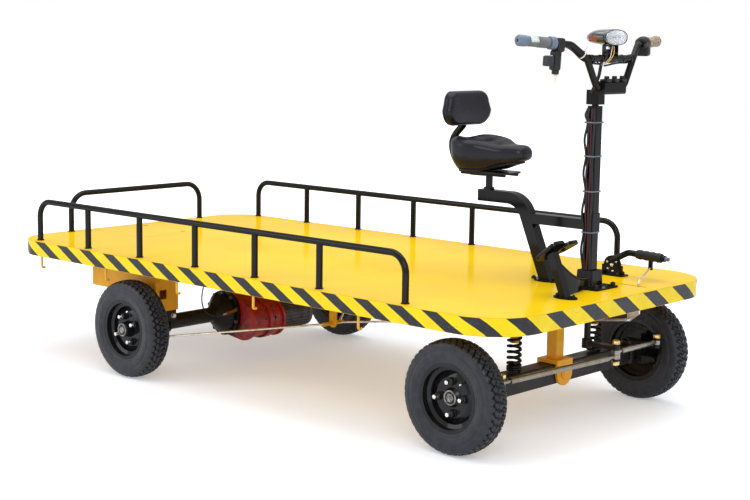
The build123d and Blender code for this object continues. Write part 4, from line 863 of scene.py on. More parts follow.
class Slot(Enum):
    """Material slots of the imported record."""

    DECK = "deck_yellow"
    SKIRT = "hazard_skirt"
    FRAME = "frame_yellow"
    BLACK = "gloss_black"
    AXLE = "axle_black"
    GEAR = "gear_red"
    MOTOR = "motor_grey"
    SPRING = "spring_steel"
    ZINC = "zinc_steel"
    TYRE = "tyre"
    RIM = "wheel_black"
    VINYL = "vinyl"
    GRIP = "grip_rubber"
    PLASTIC = "black_plastic"
    LENS = "lens"
    PEDAL = "pedal_rubber"
    BATTERY = "battery_case"


SLOT_FINISH = {slot: Finish[slot.name] for slot in Slot}
NODE_FINISH = {"foot_pedal_right": Finish.BLACK, "foot_rest_left": Finish.BLACK, "tie_rod_left": Finish.ROD,
               "tie_rod_right": Finish.ROD}


def piece(name: str, shells: list[Shell], finish: Finish, slot: Slot, body: str = "frame",
          replaces: tuple[str, ...] = (), crease: float = 38.0) -> bpy.types.Object:
    """Puts shells into the scene as one object that rides on a body.

    Args:
        name: The object's name.
        shells: Its surfaces, in millimetres.
        finish: Its finish.
        slot: The record's slot that the finish belongs to. Not used.
        body: CAD body that it moves with.
        replaces: CAD nodes that it stands for.
        crease: Edges sharper than this many degrees stay sharp.

    Returns:
        The new object.
    """
    points = np.vstack([shell.points for shell in shells]) * MM
    starts = np.cumsum([0] + [len(shell.points) for shell in shells[:-1]])
    faces: list[list[int]] = []
    uv_parts: list[Array] = []
    for shell, start in zip(shells, starts):
        faces += (shell.quads + start).tolist() + [[k + int(start) for k in cap] for cap in shell.caps]
        corner_uv = np.zeros((len(shell.quads), 4, 2)) if shell.uvs is None else shell.uvs
        uv_parts += [corner_uv.reshape(-1, 2), np.zeros((sum(len(cap) for cap in shell.caps), 2))]
    mesh = bpy.data.meshes.new(name)
    mesh.from_pydata(points.tolist(), [], faces)
    if any(shell.uvs is not None for shell in shells):
        layer = mesh.uv_layers.new(name="tape")
        layer.data.foreach_set("uv", np.vstack(uv_parts).astype(np.float32).ravel())
    if any(shell.depth is not None for shell in shells):
        values = [np.zeros(len(shell.points)) if shell.depth is None else shell.depth for shell in shells]
        attribute = mesh.attributes.new("depth", "FLOAT", "POINT")
        attribute.data.foreach_set("value", np.concatenate(values).astype(np.float32))
    mesh.shade_smooth()
    mesh.set_sharp_from_angle(angle=math.radians(crease))
    mesh.materials.append(finish.material())
    made = bpy.data.objects.new(name, mesh)
    bpy.context.scene.collection.objects.link(made)
    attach(made, body)
    if replaces:
        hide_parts(*replaces)
    LOG.info("%s: %d points", name, len(points))
    return made


def dress_nodes() -> None:
    """Gives every CAD node the finish of its material slot."""
    for name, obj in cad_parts.items():
        finish = NODE_FINISH.get(name) or SLOT_FINISH[Slot(node_slot(obj))]
        obj.data.materials.clear()
        obj.data.materials.append(finish.material())


def node_slot(obj: bpy.types.Object) -> str:
    """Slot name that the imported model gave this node's material."""
    return obj.data.materials[0].name.split(".")[0]


@dataclass
class Studio:
    """Camera, soft light and the white floor."""

    camera_at: tuple = (3813.9, -4008.4, 1286.3)
    yaw: float = 2.309
    pitch: float = -0.145
    roll: float = 0.014
    lens: float = 72.23
    sensor: float = 36.0
    world_level: float = 0.62
    # Lamps: name, place, aim, side of the square, power
    lamps: tuple = (("overhead", (300, 200, 4200), (0, 0, 300), 4200, 120.0),
                    ("front_key", (3600, -3400, 2900), (200, 0, 400), 2400, 70.0),
                    ("side_fill", (-2600, -3600, 2200), (-300, 0, 400), 2400, 40.0))
    floor_half: float = 14
    floor_white: Colour = (0.93, 0.945, 0.975)
    # The floor's own light: from and to how many metres out, and its strength at each
    glow: tuple = (1.7, 4.2, 0.34, 1.0)

    def camera(self) -> None:
        """Camera at the photograph's place, turned by its yaw, pitch and roll."""
        level = math.cos(self.pitch)
        forward = Vector((math.cos(self.yaw) * level, math.sin(self.yaw) * level, math.sin(self.pitch)))
        right = forward.cross(Vector((0, 0, 1))).normalized()
        up = right.cross(forward)
        turned_right = right * math.cos(self.roll) + up * math.sin(self.roll)
        turned_up = up * math.cos(self.roll) - right * math.sin(self.roll)
        data = bpy.data.cameras.new("camera")
        data.lens, data.sensor_width = self.lens, self.sensor
        data.clip_end = 100
        made = bpy.data.objects.new("camera", data)
        rows = [(turned_right[k], turned_up[k], -forward[k], self.camera_at[k] * MM) for k in range(3)]
        made.matrix_world = Matrix((*rows, (0, 0, 0, 1)))
        bpy.context.scene.collection.objects.link(made)
        bpy.context.scene.camera = made

    def lights(self) -> None:
        """Soft square lamps, and a white world that lights less than the camera sees of it."""
        world = bpy.data.worlds.new("studio")
        bpy.context.scene.world = world
        world.use_nodes = True
        nodes, links = world.node_tree.nodes, world.node_tree.links
        background = nodes["Background"]
        background.inputs["Color"].default_value = (1, 1, 1, 1)
        path = nodes.new("ShaderNodeLightPath")
        seen, mirrored = nodes.new("ShaderNodeMath"), nodes.new("ShaderNodeMath")
        seen.operation = mirrored.operation = "MAXIMUM"
        links.new(path.outputs["Is Glossy Ray"], mirrored.inputs[0])
        links.new(path.outputs["Is Transmission Ray"], mirrored.inputs[1])
        links.new(path.outputs["Is Camera Ray"], seen.inputs[0])
        links.new(mirrored.outputs[0], seen.inputs[1])
        level = nodes.new("ShaderNodeMapRange")
        level.inputs["To Min"].default_value = self.world_level
        level.inputs["To Max"].default_value = 1.0
        links.new(seen.outputs[0], level.inputs["Value"])
        links.new(level.outputs["Result"], background.inputs["Strength"])
        for name, at, aim, size, power in self.lamps:
            data = bpy.data.lights.new(name, "AREA")
            data.shape, data.size, data.energy = "SQUARE", size * MM, power
            lamp = bpy.data.objects.new(name, data)
            lamp.location = Vector(at) * MM
            lamp.rotation_euler = (Vector(aim) - Vector(at)).to_track_quat("-Z", "Y").to_euler()
            bpy.context.scene.collection.objects.link(lamp)
        bpy.context.scene.view_settings.view_transform = "Standard"

    def floor(self) -> None:
        """White floor that keeps the cart's shadow, with a little of its own white for the camera."""
        steps = np.linspace(-self.floor_half, self.floor_half, 29)
        x, y = np.meshgrid(steps, steps, indexing="ij")
        points = np.stack([x, y, 0 * x], axis=-1)
        shell = Shell.grid(points)
        mesh = bpy.data.meshes.new("floor")
        mesh.from_pydata(points.reshape(-1, 3).tolist(), [], shell.quads.tolist())
        s = Shader("floor_white")
        s.set(Base_Color=linear(self.floor_white), Roughness=0.75, Specular_IOR_Level=0.15)
        path = s.node("LightPath")
        seen = s.math("MAXIMUM", path.outputs["Is Camera Ray"], path.outputs["Is Glossy Ray"])
        far = s.node("VectorMath", {"operation": "LENGTH"}, Vector=s.place).outputs["Value"]
        glow = s.span(far, *self.glow)
        s.set(Emission_Color=(1, 1, 1, 1), Emission_Strength=s.math("MULTIPLY", seen, glow))
        mesh.materials.append(s.material)
        made = bpy.data.objects.new("floor", mesh)
        bpy.context.scene.collection.objects.link(made)

    def build(self) -> None:
        """Camera, lights and floor."""
        self.camera()
        self.lights()
        self.floor()


@dataclass
class Deck:
    """The hazard tape round the deck's skirt."""

    length: float = 2440
    width: float = 1220
    top: float = 457
    skirt_height: float = 58
    front_radius: float = 185
    rear_radius: float = 150
    proud: float = 0.25
    side_pitch: float = 141.4
    side_start: float = 60.6
    side_slant: float = 1.78
    front_pitch: float = 177.5
    front_start: float = -398
    front_slant: float = 1.5
    # Gaps under and over the tape
    tape_edges: tuple = (0.8, 2.2)
    tape_step: float = 20

    def outline(self) -> Array:
        """Plan of the band, once round from the front right corner.

        Returns:
            Points of the four corners' arcs, pushed out by the tape's thickness.
        """
        half_l, half_w = self.length / 2, self.width / 2
        corners = [(half_l, -half_w, self.front_radius, -90), (half_l, half_w, self.front_radius, 0),
                   (-half_l, half_w, self.rear_radius, 90), (-half_l, -half_w, self.rear_radius, 180)]
        points = []
        for x, y, radius, start in corners:
            centre = np.array([x - np.sign(x) * radius, y - np.sign(y) * radius])
            angle = np.radians(start + np.linspace(0, 90, 37))
            points.append(centre + (radius + self.proud) * np.stack([np.cos(angle), np.sin(angle)], axis=-1))
        return np.vstack(points)

    def phase(self, along: Array) -> Array:
        """Stripe count at the band's top: each side has its own pitch, and the corners carry on between them.

        Args:
            along: Lengths along the band from the outline's start.

        Returns:
            The count at each of them. Its whole part is the stripe's number.
        """
        half_l, half_w = self.length / 2, self.width / 2
        right_end = half_l - self.front_radius
        start = (right_end - self.side_start) / self.side_pitch
        corner = self.front_radius * np.pi / 2
        corner_count = corner / (0.5 * (self.side_pitch + self.front_pitch))
        run = self.width - 2 * self.front_radius
        front_first = (-half_w + self.front_radius - self.front_start) / self.front_pitch
        front_in = front_first + math.ceil(start + corner_count - front_first)
        front_out = front_in + run / self.front_pitch
        left_in = front_out + corner_count
        left_run = self.length - self.front_radius - self.rear_radius
        left_out = left_in + left_run / self.side_pitch
        rear_corner = self.rear_radius * np.pi / 2 / self.side_pitch
        rear_run = (self.width - 2 * self.rear_radius) / self.side_pitch
        rear_in = left_out + rear_corner
        right_in = rear_in + rear_run + rear_corner
        right_out = right_in + left_run / self.side_pitch
        rear_arc = self.rear_radius * np.pi / 2
        marks = np.array([0, corner, corner + run, 2 * corner + run, 2 * corner + run + left_run])
        rear_marks = marks[-1] + np.cumsum([rear_arc, self.width - 2 * self.rear_radius, rear_arc, left_run])
        counts = np.array([start, front_in, front_out, left_in, left_out, rear_in, rear_in + rear_run,
                           right_in, right_out])
        seam = round(counts[-1] - counts[0])
        counts[5:] += (seam + counts[0] - counts[-1]) * np.array([0.25, 0.5, 1, 1])
        return np.interp(along, np.concatenate([marks, rear_marks]), counts)

    def tape(self) -> None:
        """Band of tape round the skirt: the outline carried from its lower edge to its upper one.

        Across the pattern a point's place is the stripe count less its drop below the deck times the slant.
        """
        corner_points = self.outline()
        closed = np.vstack([corner_points, corner_points[:1]])
        step = np.linalg.norm(np.diff(closed, axis=0), axis=1)
        reach = np.concatenate([[0], np.cumsum(step)])
        extra = np.concatenate([np.linspace(a, b, max(1, int((b - a) / self.tape_step)), endpoint=False)
                                for a, b in zip(reach[:-1], reach[1:])])
        outline = np.stack([np.interp(extra, reach, closed[:, k]) for k in range(2)], axis=-1)
        count = self.phase(np.append(extra, reach[-1]))
        low_edge, top_edge = self.tape_edges
        heights = np.array([self.top - self.skirt_height + low_edge, self.top - top_edge])
        rows = len(heights)
        grid = np.concatenate([np.broadcast_to(outline[None], (rows, len(outline), 2)),
                               np.broadcast_to(heights[:, None, None], (rows, len(outline), 1))], axis=-1)
        slant_side = self.side_slant / self.side_pitch
        slant_front = self.front_slant / self.front_pitch
        x = np.append(outline[:, 0], outline[0, 0])
        ahead = smoothstep(x, self.length / 2 - 120, self.length / 2 - 20)
        slant = slant_side + (slant_front - slant_side) * ahead
        drop = self.top - heights
        u = count[None] - drop[:, None] * slant[None]
        v = np.broadcast_to((drop / self.skirt_height)[:, None], u.shape)
        shell = Shell.grid(grid, wrap_columns=True, uv=np.stack([u, v], axis=-1))
        piece("hazard_tape", [shell], Finish.TAPE, Slot.SKIRT)

    def build(self) -> None:
        """Tape band."""
        self.tape()


@dataclass
class Wheel:
    """One wheel: tread and side walls of the tyre, bright studs, hub nut and valve."""

    name: str
    x: float
    track: float
    side: int
    stud_turn: float
    hub_nose: float
    radius: float = 181
    width: float = 90
    bead: float = 101.8
    disc_face: float = 12
    stud_circle: float = 50
    blocks: int = 46
    groove_depth: float = 6.0
    zigzag: float = 4.2
    # Rings of the side wall: height, share of the radius, spread
    wall_rings: tuple = ((1.6, 0.63, 2.2), (-1.2, 0.665, 2.0), (0.9, 0.845, 1.5), (-1.6, 0.815, 3.2))

    @property
    def body(self) -> str:
        """CAD body that this wheel is."""
        return f"wheel_{self.name}"

    def axes(self) -> Array:
        """Turn whose z column runs outboard along the axle."""
        return axes_along((0, self.side, 0))

    def centre(self, outboard: float = 0.0) -> Array:
        """Point on the axle, at a distance outboard of the rim's middle."""
        return np.array([self.x, self.side * (self.track + outboard), self.radius])

    def section(self) -> Array:
        """Tyre section from the outer bead over the tread to the inner bead.

        Returns:
            Its (radius, height) points.
        """
        half = self.width / 2
        key = np.array([
            (self.bead, 34.0), (self.bead + 4, 35.6), (self.bead + 10, 38.5), (self.bead + 18, 42.2),
            (0.73 * self.radius, half - 0.6), (0.79 * self.radius, half - 0.2),
            (0.85 * self.radius, half - 2.0), (self.radius - 18, 41.5), (self.radius - 9.5, 38.0),
            (self.radius - 4.6, 31.5), (self.radius - 1.8, 21),
            (self.radius - 0.4, 10.5), (self.radius, 0)])
        outer = evenly(smooth_path(key, 10), 38)
        return np.vstack([outer, (outer * np.array([1, -1]))[-2::-1]])

    def grooves(self, r: Array, h: Array, turn: Array) -> Array:
        """Depth of the tread's grooves: 1 inside a band round a groove's line, falling to 0 at its edges.

        The lines are two zigzags round the tyre, a sipe across each block, a cut between the blocks, and
        slots that run over the shoulder.

        Args:
            r: Radii of the section.
            h: Heights of the section, from the tyre's middle.
            turn: Number of the tread's block at each angle.

        Returns:
            Depths from 0 to 1.
        """
        off = np.abs(h)
        zigzag = self.zigzag * (off_middle(turn + 0.25) * 4 - 1) * np.sign(h + 1e-9)
        inner_line = falling(np.abs(off - 9.5 - zigzag), 1.7, 3.7)
        outer_line = falling(np.abs(off - 25.5 + 0.8 * zigzag), 1.5, 3.4)
        shoulder = off_middle(turn + 0.011 * off * 1.9 + 0.5 * (h > 0))
        slots = 0.7 * falling(shoulder, 0.1, 0.19) * smoothstep(off, 23, 27) * falling(off, 35, 39)
        sipes = 0.75 * falling(off_middle(turn - 0.02 * h), 0.05, 0.1) * falling(off, 8.5, 10.5)
        between = off_middle(turn + 0.03 * off + 0.25)
        cuts = falling(between, 0.07, 0.13) * smoothstep(off, 10, 12) * falling(off, 23, 25)
        on_tread = smoothstep(r, 0.86 * self.radius, 0.9 * self.radius)
        return np.clip(np.maximum.reduce([inner_line, outer_line, slots, sipes, cuts]), 0, 1) * on_tread

    def tyre(self) -> None:
        """Tyre: its section turned round the axle, pressed in by the tread's grooves.

        The side wall's rings are bell curves of the radius. Fine ribs round it are a cosine of the angle.
        """
        profile = self.section()
        segments = 12 * self.blocks
        angle = np.linspace(0, 2 * np.pi, segments, endpoint=False)
        r, h = profile[:, :1], profile[:, 1:]
        groove_and_shade = self.grooves(r, h, angle[None] * self.blocks / (2 * np.pi))
        wall = falling(r, 0.86 * self.radius, 0.9 * self.radius)
        rings = sum(size * np.exp(-((r - at * self.radius) / spread) ** 2)
                    for size, at, spread in self.wall_rings)
        fine = 0.22 * np.cos(angle * 180)[None] * np.exp(-((r - 0.775 * self.radius) / 3.2) ** 2)
        slope = np.gradient(profile, axis=0)
        normal = np.stack([-slope[:, 1], slope[:, 0]], axis=-1)
        normal /= np.linalg.norm(normal, axis=1, keepdims=True)
        normal *= np.sign(normal[len(normal) // 2, 0])
        push = -self.groove_depth * groove_and_shade + wall * (rings + fine)
        rr = r + push * normal[:, :1]
        grid = np.stack([rr * np.cos(angle), rr * np.sin(angle), h + push * normal[:, 1:]], axis=-1)
        inner = turned([(self.bead + 0.5, -31), (self.bead + 0.5, 31)], segments)
        grid = np.concatenate([grid, inner])
        # The grooves' depth also goes to the material, which paints shade into them
        depth = np.concatenate([groove_and_shade, np.zeros((2, segments))])
        shell = Shell.grid(grid, wrap_rows=True, wrap_columns=True, depth=depth)
        piece(f"tyre_{self.name}_rubber", [shell.placed(self.centre(), self.axes())], Finish.TYRE, Slot.TYRE,
              self.body, (f"tyre_{self.name}",), 50)

    def studs(self) -> None:
        """Four long bright studs with their washers and nuts."""
        angle = math.radians(self.stud_turn) + np.arange(4) * np.pi / 2
        turn = self.axes()
        spots = self.stud_circle * np.stack([np.cos(angle), np.sin(angle), 0 * angle], axis=-1)
        nuts, ends = [], []
        for spot in spots:
            at = self.centre(self.disc_face) + turn @ spot
            nuts.append(washer(13.5, 2.2).placed(at, turn))
            nuts.append(hexagon(21, 11).placed(at + turn @ np.array([0, 0, 2.2]), turn))
            ends.append(thread(7.0, 31).placed(at, turn))
        piece(f"{self.body}_nuts", nuts, Finish.RIM, Slot.RIM, self.body)
        piece(f"{self.body}_studs", ends, Finish.BRIGHT, Slot.ZINC, self.body)

    def hub(self) -> None:
        """Turned ring of the hub, with the spindle's nut and threaded end inside it."""
        turn = self.axes()
        nose = self.centre(self.hub_nose)
        profile = [(24, -3), (24, 1.2), (22.6, 2.4), (20.4, 2.4), (19, 1.2), (19, -3)]
        rim = ring(profile, 64).placed(nose, turn)
        nut = hexagon(25, 7).placed(nose - turn @ np.array([0, 0, 4.6]), turn)
        end = thread(8, 8).placed(nose - turn @ np.array([0, 0, 5.2]), turn)
        piece(f"{self.body}_hub_ring", [rim, nut, end], Finish.GREASY, Slot.ZINC, self.body)

    def valve(self) -> None:
        """Tyre valve in the rim's well, with its cap."""
        turn = self.axes()
        angle = math.radians(self.stud_turn + 41)
        out = np.array([math.cos(angle), math.sin(angle), 0.0])
        base = self.centre() + turn @ (86 * out + np.array([0, 0, 17.0]))
        lean = axes_along(turn @ unit(np.array([-0.35 * out[0], -0.35 * out[1], 1.0])))
        stem = revolved([(4.6, -4), (4.2, 4), (2.6, 9), (2.6, 22), (2.2, 23)], 20).placed(base, lean)
        cap = revolved([(3.6, 20), (4.0, 21), (4.0, 29), (3.0, 31), (0.4, 31)], 16).placed(base, lean)
        piece(f"{self.body}_valve", [stem], Finish.PLASTIC, Slot.PLASTIC, self.body)
        piece(f"{self.body}_valve_cap", [cap], Finish.BRIGHT, Slot.ZINC, self.body)

    def build(self) -> None:
        """Tyre, studs, hub and valve."""
        self.tyre()
        self.studs()
        self.hub()
        self.valve()


@dataclass
class FrontAxle:
    """Coil springs of the front axle, and the plated nuts on the steering linkage's studs."""

    x: float = 978
    spring_y: float = 224
    beam_top: float = 212
    cup_bottom: float = 397
    wire: float = 10.0
    outer: float = 50
    turns: float = 11.5
    close_pitch: float = 9.0
    open_pitch: float = 24.0
    pitman: tuple = (1149, 100, 281)
    pitman_depth: float = 58
    knuckle: tuple = (1094, 439, 244.5)
    # Nuts: width across flats, height, length of stud over it
    nut: tuple = (22, 9, 3)

    def spring(self, side: int) -> None:
        """Coil spring: a wire whose height grows with its turns, close at both ends and open between.

        Args:
            side: 1 for the left and -1 for the right.
        """
        t = np.linspace(0, self.turns, int(self.turns * 28))
        between = smoothstep(t, 0.9, 3.6) * falling(t, self.turns - 1.6, self.turns - 0.8)
        pitch = self.close_pitch + (self.open_pitch - self.close_pitch) * between
        rise = np.concatenate([[0], np.cumsum(0.5 * (pitch[1:] + pitch[:-1]) * np.diff(t))])
        span = self.cup_bottom - self.beam_top - self.wire
        z = self.beam_top + self.wire / 2 + rise * span / rise[-1]
        radius = (self.outer - self.wire) / 2
        across, forward = radius * np.sin(2 * np.pi * t), radius * np.cos(2 * np.pi * t)
        path = np.stack([self.x + forward, side * self.spring_y + across, z], axis=-1)
        name = "left" if side > 0 else "right"
        piece(f"front_coil_{name}", [tube(path, self.wire / 2, sides=12, hint=(0, 0, 1))], Finish.SPRING,
              Slot.SPRING, "frame", (f"front_spring_{name}",))

    def nuts(self) -> None:
        """Nuts over and under the pitman arm's stud, and one on each knuckle's stud."""
        across, height, stud = self.nut
        x, y, top = self.pitman
        over = bolts([self.pitman], (0, 0, 1), across, height, stud)
        under = bolts([(x, y, top - self.pitman_depth)], (0, 0, -1), across, height, stud)
        piece("pitman_nuts", over + under, Finish.PLATED, Slot.ZINC, "steering")
        for name, side in (("left", 1), ("right", -1)):
            spot = (self.knuckle[0], side * self.knuckle[1], self.knuckle[2])
            piece(f"knuckle_nut_{name}", bolts([spot], (0, 0, 1), across, height, stud), Finish.PLATED,
                  Slot.ZINC, f"knuckle_{name}")

    def build(self) -> None:
        """Both springs and the nuts."""
        for side in (1, -1):
            self.spring(side)
        self.nuts()


@dataclass
class Saddle:
    """Driver's saddle and backrest pad, moulded foam under stretched vinyl, and the pad's tube."""

    centre: tuple = (598, 100)
    bottom: float = 815
    rear: float = 480
    nose: float = 775
    half_width: float = 125
    nose_top: float = 901
    edge: float = 30.0
    drop: float = 26
    fill: float = 0.8
    # Backrest pad: half width, half height, thickness
    pad_half: tuple = (122.5, 60.0, 45.0)
    # Radii of its lower and upper corners
    pad_corners: tuple = (56.0, 38.0)
    pad_centre: tuple = (499, 100, 1022)
    pad_lean: float = 1
    stay_radius: float = 12.5
    # Middle line of its tube: forward, up
    stay_line: tuple = ((491, 985), (484, 962), (457, 934), (440, 905), (441, 872), (458, 838), (486, 812),
                        (522, 803), (590, 803))

    def outline(self, count: int = 120) -> Array:
        """Plan of the saddle: broad and round behind, drawn in to a blunt nose.

        Args:
            count: Points round it.

        Returns:
            Its points in x and y, the middle line at y = 0.
        """
        w, rear = self.half_width, self.rear
        right = np.array([
            (rear + 4, 0), (rear + 7, 0.34 * w), (rear + 22, 0.68 * w), (rear + 55, 0.93 * w),
            (rear + 100, w), (rear + 140, 0.9 * w), (rear + 180, 0.68 * w), (rear + 222, 0.47 * w),
            (rear + 258, 0.38 * w), (self.nose - 14, 0.29 * w), (self.nose - 2, 0.12 * w)])
        loop = np.vstack([right, right[1:][::-1] * np.array([1, -1])])
        return evenly(smooth_path(loop, 14, closed=True), count, closed=True)

    def top(self, x: Array, y: Array) -> Array:
        """Height of the seat: a low nose, a raised rear rim, and a dip for the seat bones between them.

        Args:
            x: Places along the saddle.
            y: Places across it, from its middle line.

        Returns:
            Heights. The dip, the crown and the waist are bell curves of both places.
        """
        rise = smoothstep(-x, -(self.rear + 205), -(self.rear + 30))
        rim = np.hypot((x - (self.rear + 105)) / 105, y / self.half_width)
        bolster = 30 * rise * smoothstep(rim, 0.35, 1.0)
        dip = 10 * np.exp(-((x - self.rear - 130) / 60) ** 2 - (y / 48) ** 2)
        crown = 7 * np.exp(-(y / 40) ** 2) * smoothstep(x, self.rear + 150, self.rear + 230)
        waist = 13 * np.exp(-((x - self.rear - 160) / 66) ** 2) * smoothstep(np.abs(y), 6, 80)
        return self.nose_top + bolster - dip + crown + waist + 7 * rise

    def under(self, x: Array) -> Array:
        """Height of the underside: level behind, rising to the nose."""
        return self.bottom + 30 * smoothstep(x, self.rear + 140, self.nose + 20)

    def saddle(self) -> None:
        """Saddle: rings from the middle of the top out over a rounded edge, down the side and in underneath.

        Ring k is the outline drawn towards the middle by a factor, at the height of the top surface less the
        drop of the rounded edge.
        """
        outline = self.outline()
        middle = np.array([self.centre[0], 0.0])
        reach = np.linalg.norm(outline - middle, axis=1)
        direction = (outline - middle) / reach[:, None]
        flat_reach = reach - self.edge
        rings, heights = [], []
        for f in np.linspace(0.02, 1, 22)[:-1]:
            xy = middle + direction * (flat_reach * f)[:, None]
            rings.append(xy)
            heights.append(self.top(xy[:, 0], xy[:, 1]))
        shoulder = self.top(*(middle + direction * flat_reach[:, None]).T)
        for a in np.linspace(0, np.pi / 2, 12):
            rings.append(middle + direction * (flat_reach + self.edge * np.sin(a))[:, None])
            heights.append(shoulder - self.drop * (1 - np.cos(a)))
        side_low = self.under(outline[:, 0]) + 9
        for f, tuck in ((0.25, 0.2), (0.42, 1.0), (0.58, 3.4), (0.72, 7.2), (0.84, 12.0), (0.93, 17.5),
                        (1.0, 24.0)):
            rings.append(middle + direction * (reach - tuck)[:, None])
            heights.append((shoulder - self.drop) * (1 - f) + side_low * f)
        for tuck, drop in ((26.5, 1.6), (27.0, 3.2), (25.5, 4.6), (27, 7), (30, 8.8), (34, 9)):
            rings.append(middle + direction * (reach - tuck)[:, None])
            heights.append(side_low - drop)
        for f in np.linspace(0.6, 0.05, 6):
            xy = middle + direction * (f * (reach - 34))[:, None]
            rings.append(xy)
            heights.append(self.under(xy[:, 0]))
        plan = np.array(rings) + np.array([0, self.centre[1]])
        grid = np.concatenate([plan, np.array(heights)[..., None]], axis=-1)
        shell = Shell.grid(grid, wrap_columns=True, capped=True)
        made = piece("saddle_cushion", [shell], Finish.VINYL, Slot.VINYL, "frame", ("saddle",), 60)

    def pad(self) -> None:
        """Backrest pad: rings of a rounded trapezoid, crowned in front and flat behind, with a piped seam."""
        half_w, half_h, thick = self.pad_half
        low, high = self.pad_corners
        top_w = 0.9 * half_w
        key = []
        for cx, cy, corner, start in (
                (half_w - low, low - half_h, low, -90), (top_w - high, half_h - high, high, 0),
                (high - top_w, half_h - high, high, 90), (low - half_w, low - half_h, low, 180)):
            a = np.radians(start + np.linspace(4, 86, 9))
            key.append(np.stack([cx + corner * np.cos(a), cy + corner * np.sin(a)], axis=-1))
        outline = evenly(np.vstack(key), 110, closed=True)
        reach = np.linalg.norm(outline, axis=1)
        direction = outline / reach[:, None]
        rows, depth = [], []
        for f in np.linspace(0.03, 0.8, 12):
            rows.append(direction * (reach * f)[:, None])
            depth.append(np.full(len(reach), thick / 2 - 5.5 * f ** 2.2))
        for a in np.linspace(0.1, np.pi / 2, 10):
            f = 0.8 + 0.2 * np.sin(a)
            rows.append(direction * (reach * f)[:, None])
            depth.append(np.full(len(reach), thick / 2 - 3.4 - 25 * (1 - np.cos(a))))
        for inset, z in ((0.6, -8), (3.2, -9.4), (3.6, -10.6), (1.2, -12.4), (1.0, -15), (4, -19), (12, -22),
                         (26, -22.5)):
            rows.append(direction * (reach - inset)[:, None])
            depth.append(np.full(len(reach), float(z)))
        rows.append(direction * (0.1 * reach)[:, None])
        depth.append(np.full(len(reach), -22.5))
        rows, depth = np.array(rows), np.array(depth)
        hug = 0.0008 * rows[..., 0] ** 2 - 4
        grid = np.concatenate([rows, (depth + hug)[..., None]], axis=-1)
        lean = math.radians(self.pad_lean)
        out = np.array([math.cos(lean), 0, math.sin(lean)])
        left = np.array([0.0, 1.0, 0.0])
        turn = np.stack([left, np.cross(out, left), out], axis=1)
        shell = Shell.grid(grid, wrap_columns=True, capped=True).placed(self.pad_centre, turn)
        made = piece("backrest_cushion", [shell], Finish.VINYL, Slot.VINYL, "frame", ("backrest_pad",), 60)

    def stay(self) -> None:
        """Tube of the pad: back and down round the rear of the saddle, then forward under it to the pan."""
        side = np.array(self.stay_line, dtype=float)
        path = smooth_path(np.insert(side, 1, self.centre[1], axis=1), 10)
        piece("backrest_stay", [tube(path, self.stay_radius, sides=24, hint=(0, 1, 0))], Finish.BLACK,
              Slot.BLACK, "frame", ("backrest_tube",))

    def build(self) -> None:
        """Saddle, pad and the pad's tube."""
        self.saddle()
        self.pad()
        self.stay()


@dataclass
class BreatherHose:
    """Thin hose from the frame down to the rear axle, with its brass fitting."""

    radius: float = 2.5
    length: float = 350
    route: tuple = ((-470, -250, 453), (-470, -250, 402), (-470, -254, 350), (-470, -271, 303),
                    (-470, -279, 257), (-469, -262, 209), (-465, -212, 186), (-460, -162, 194))

    def hose(self) -> None:
        """The hose: a smooth curve with the route's points as its control points."""
        curve = bpy.data.curves.new("breather_line", "CURVE")
        curve.dimensions = "3D"
        curve.bevel_depth, curve.bevel_resolution, curve.resolution_u = self.radius * MM, 4, 16
        curve.use_fill_caps = True
        line = curve.splines.new("NURBS")
        line.points.add(len(self.route) - 1)
        for point, at in zip(line.points, self.route):
            point.co = (at[0] * MM, at[1] * MM, at[2] * MM, 1)
        line.order_u = 3
        line.use_endpoint_u = True
        curve.materials.append(Finish.CABLE.material())
        made = bpy.data.objects.new("breather_line", curve)
        bpy.context.scene.collection.objects.link(made)
        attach(made, "frame")
        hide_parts("breather_hose")
        tuple(c * MM for c in self.route[0])

    def fitting(self) -> None:
        """Crimped sleeve on the hose's end, and the hexagon and collars of the brass fitting behind it."""
        end = np.array(self.route[-1], float)
        turn = axes_along(end - np.array(self.route[-2], float))
        crimp = [(2.6, -15), (3.5, -14.6), (3.7, -10), (3.3, -7), (3.7, -4), (3.7, 0.5), (2.6, 1)]
        sleeve = revolved(crimp, 24)
        brass = [hexagon(13, 8).placed((0, 0, 6)), hexagon(12, 6).placed((0, 0, 34))]
        brass += [revolved(collar, 28) for collar in (
            [(4.4, 1), (5.2, 1.6), (5.2, 6)], [(4.6, 14), (5.6, 15), (5.6, 33), (4.6, 34)],
            [(4.6, 40), (6.2, 41), (6.2, 50), (4.6, 51)])]
        piece("breather_sleeve", [sleeve.placed(end, turn)], Finish.ZINC, Slot.ZINC)
        piece("breather_fitting", [shell.placed(end, turn) for shell in brass], Finish.BRASS, Slot.ZINC)

    def build(self) -> None:
        """Hose and fitting."""
        self.hose()
        self.fitting()


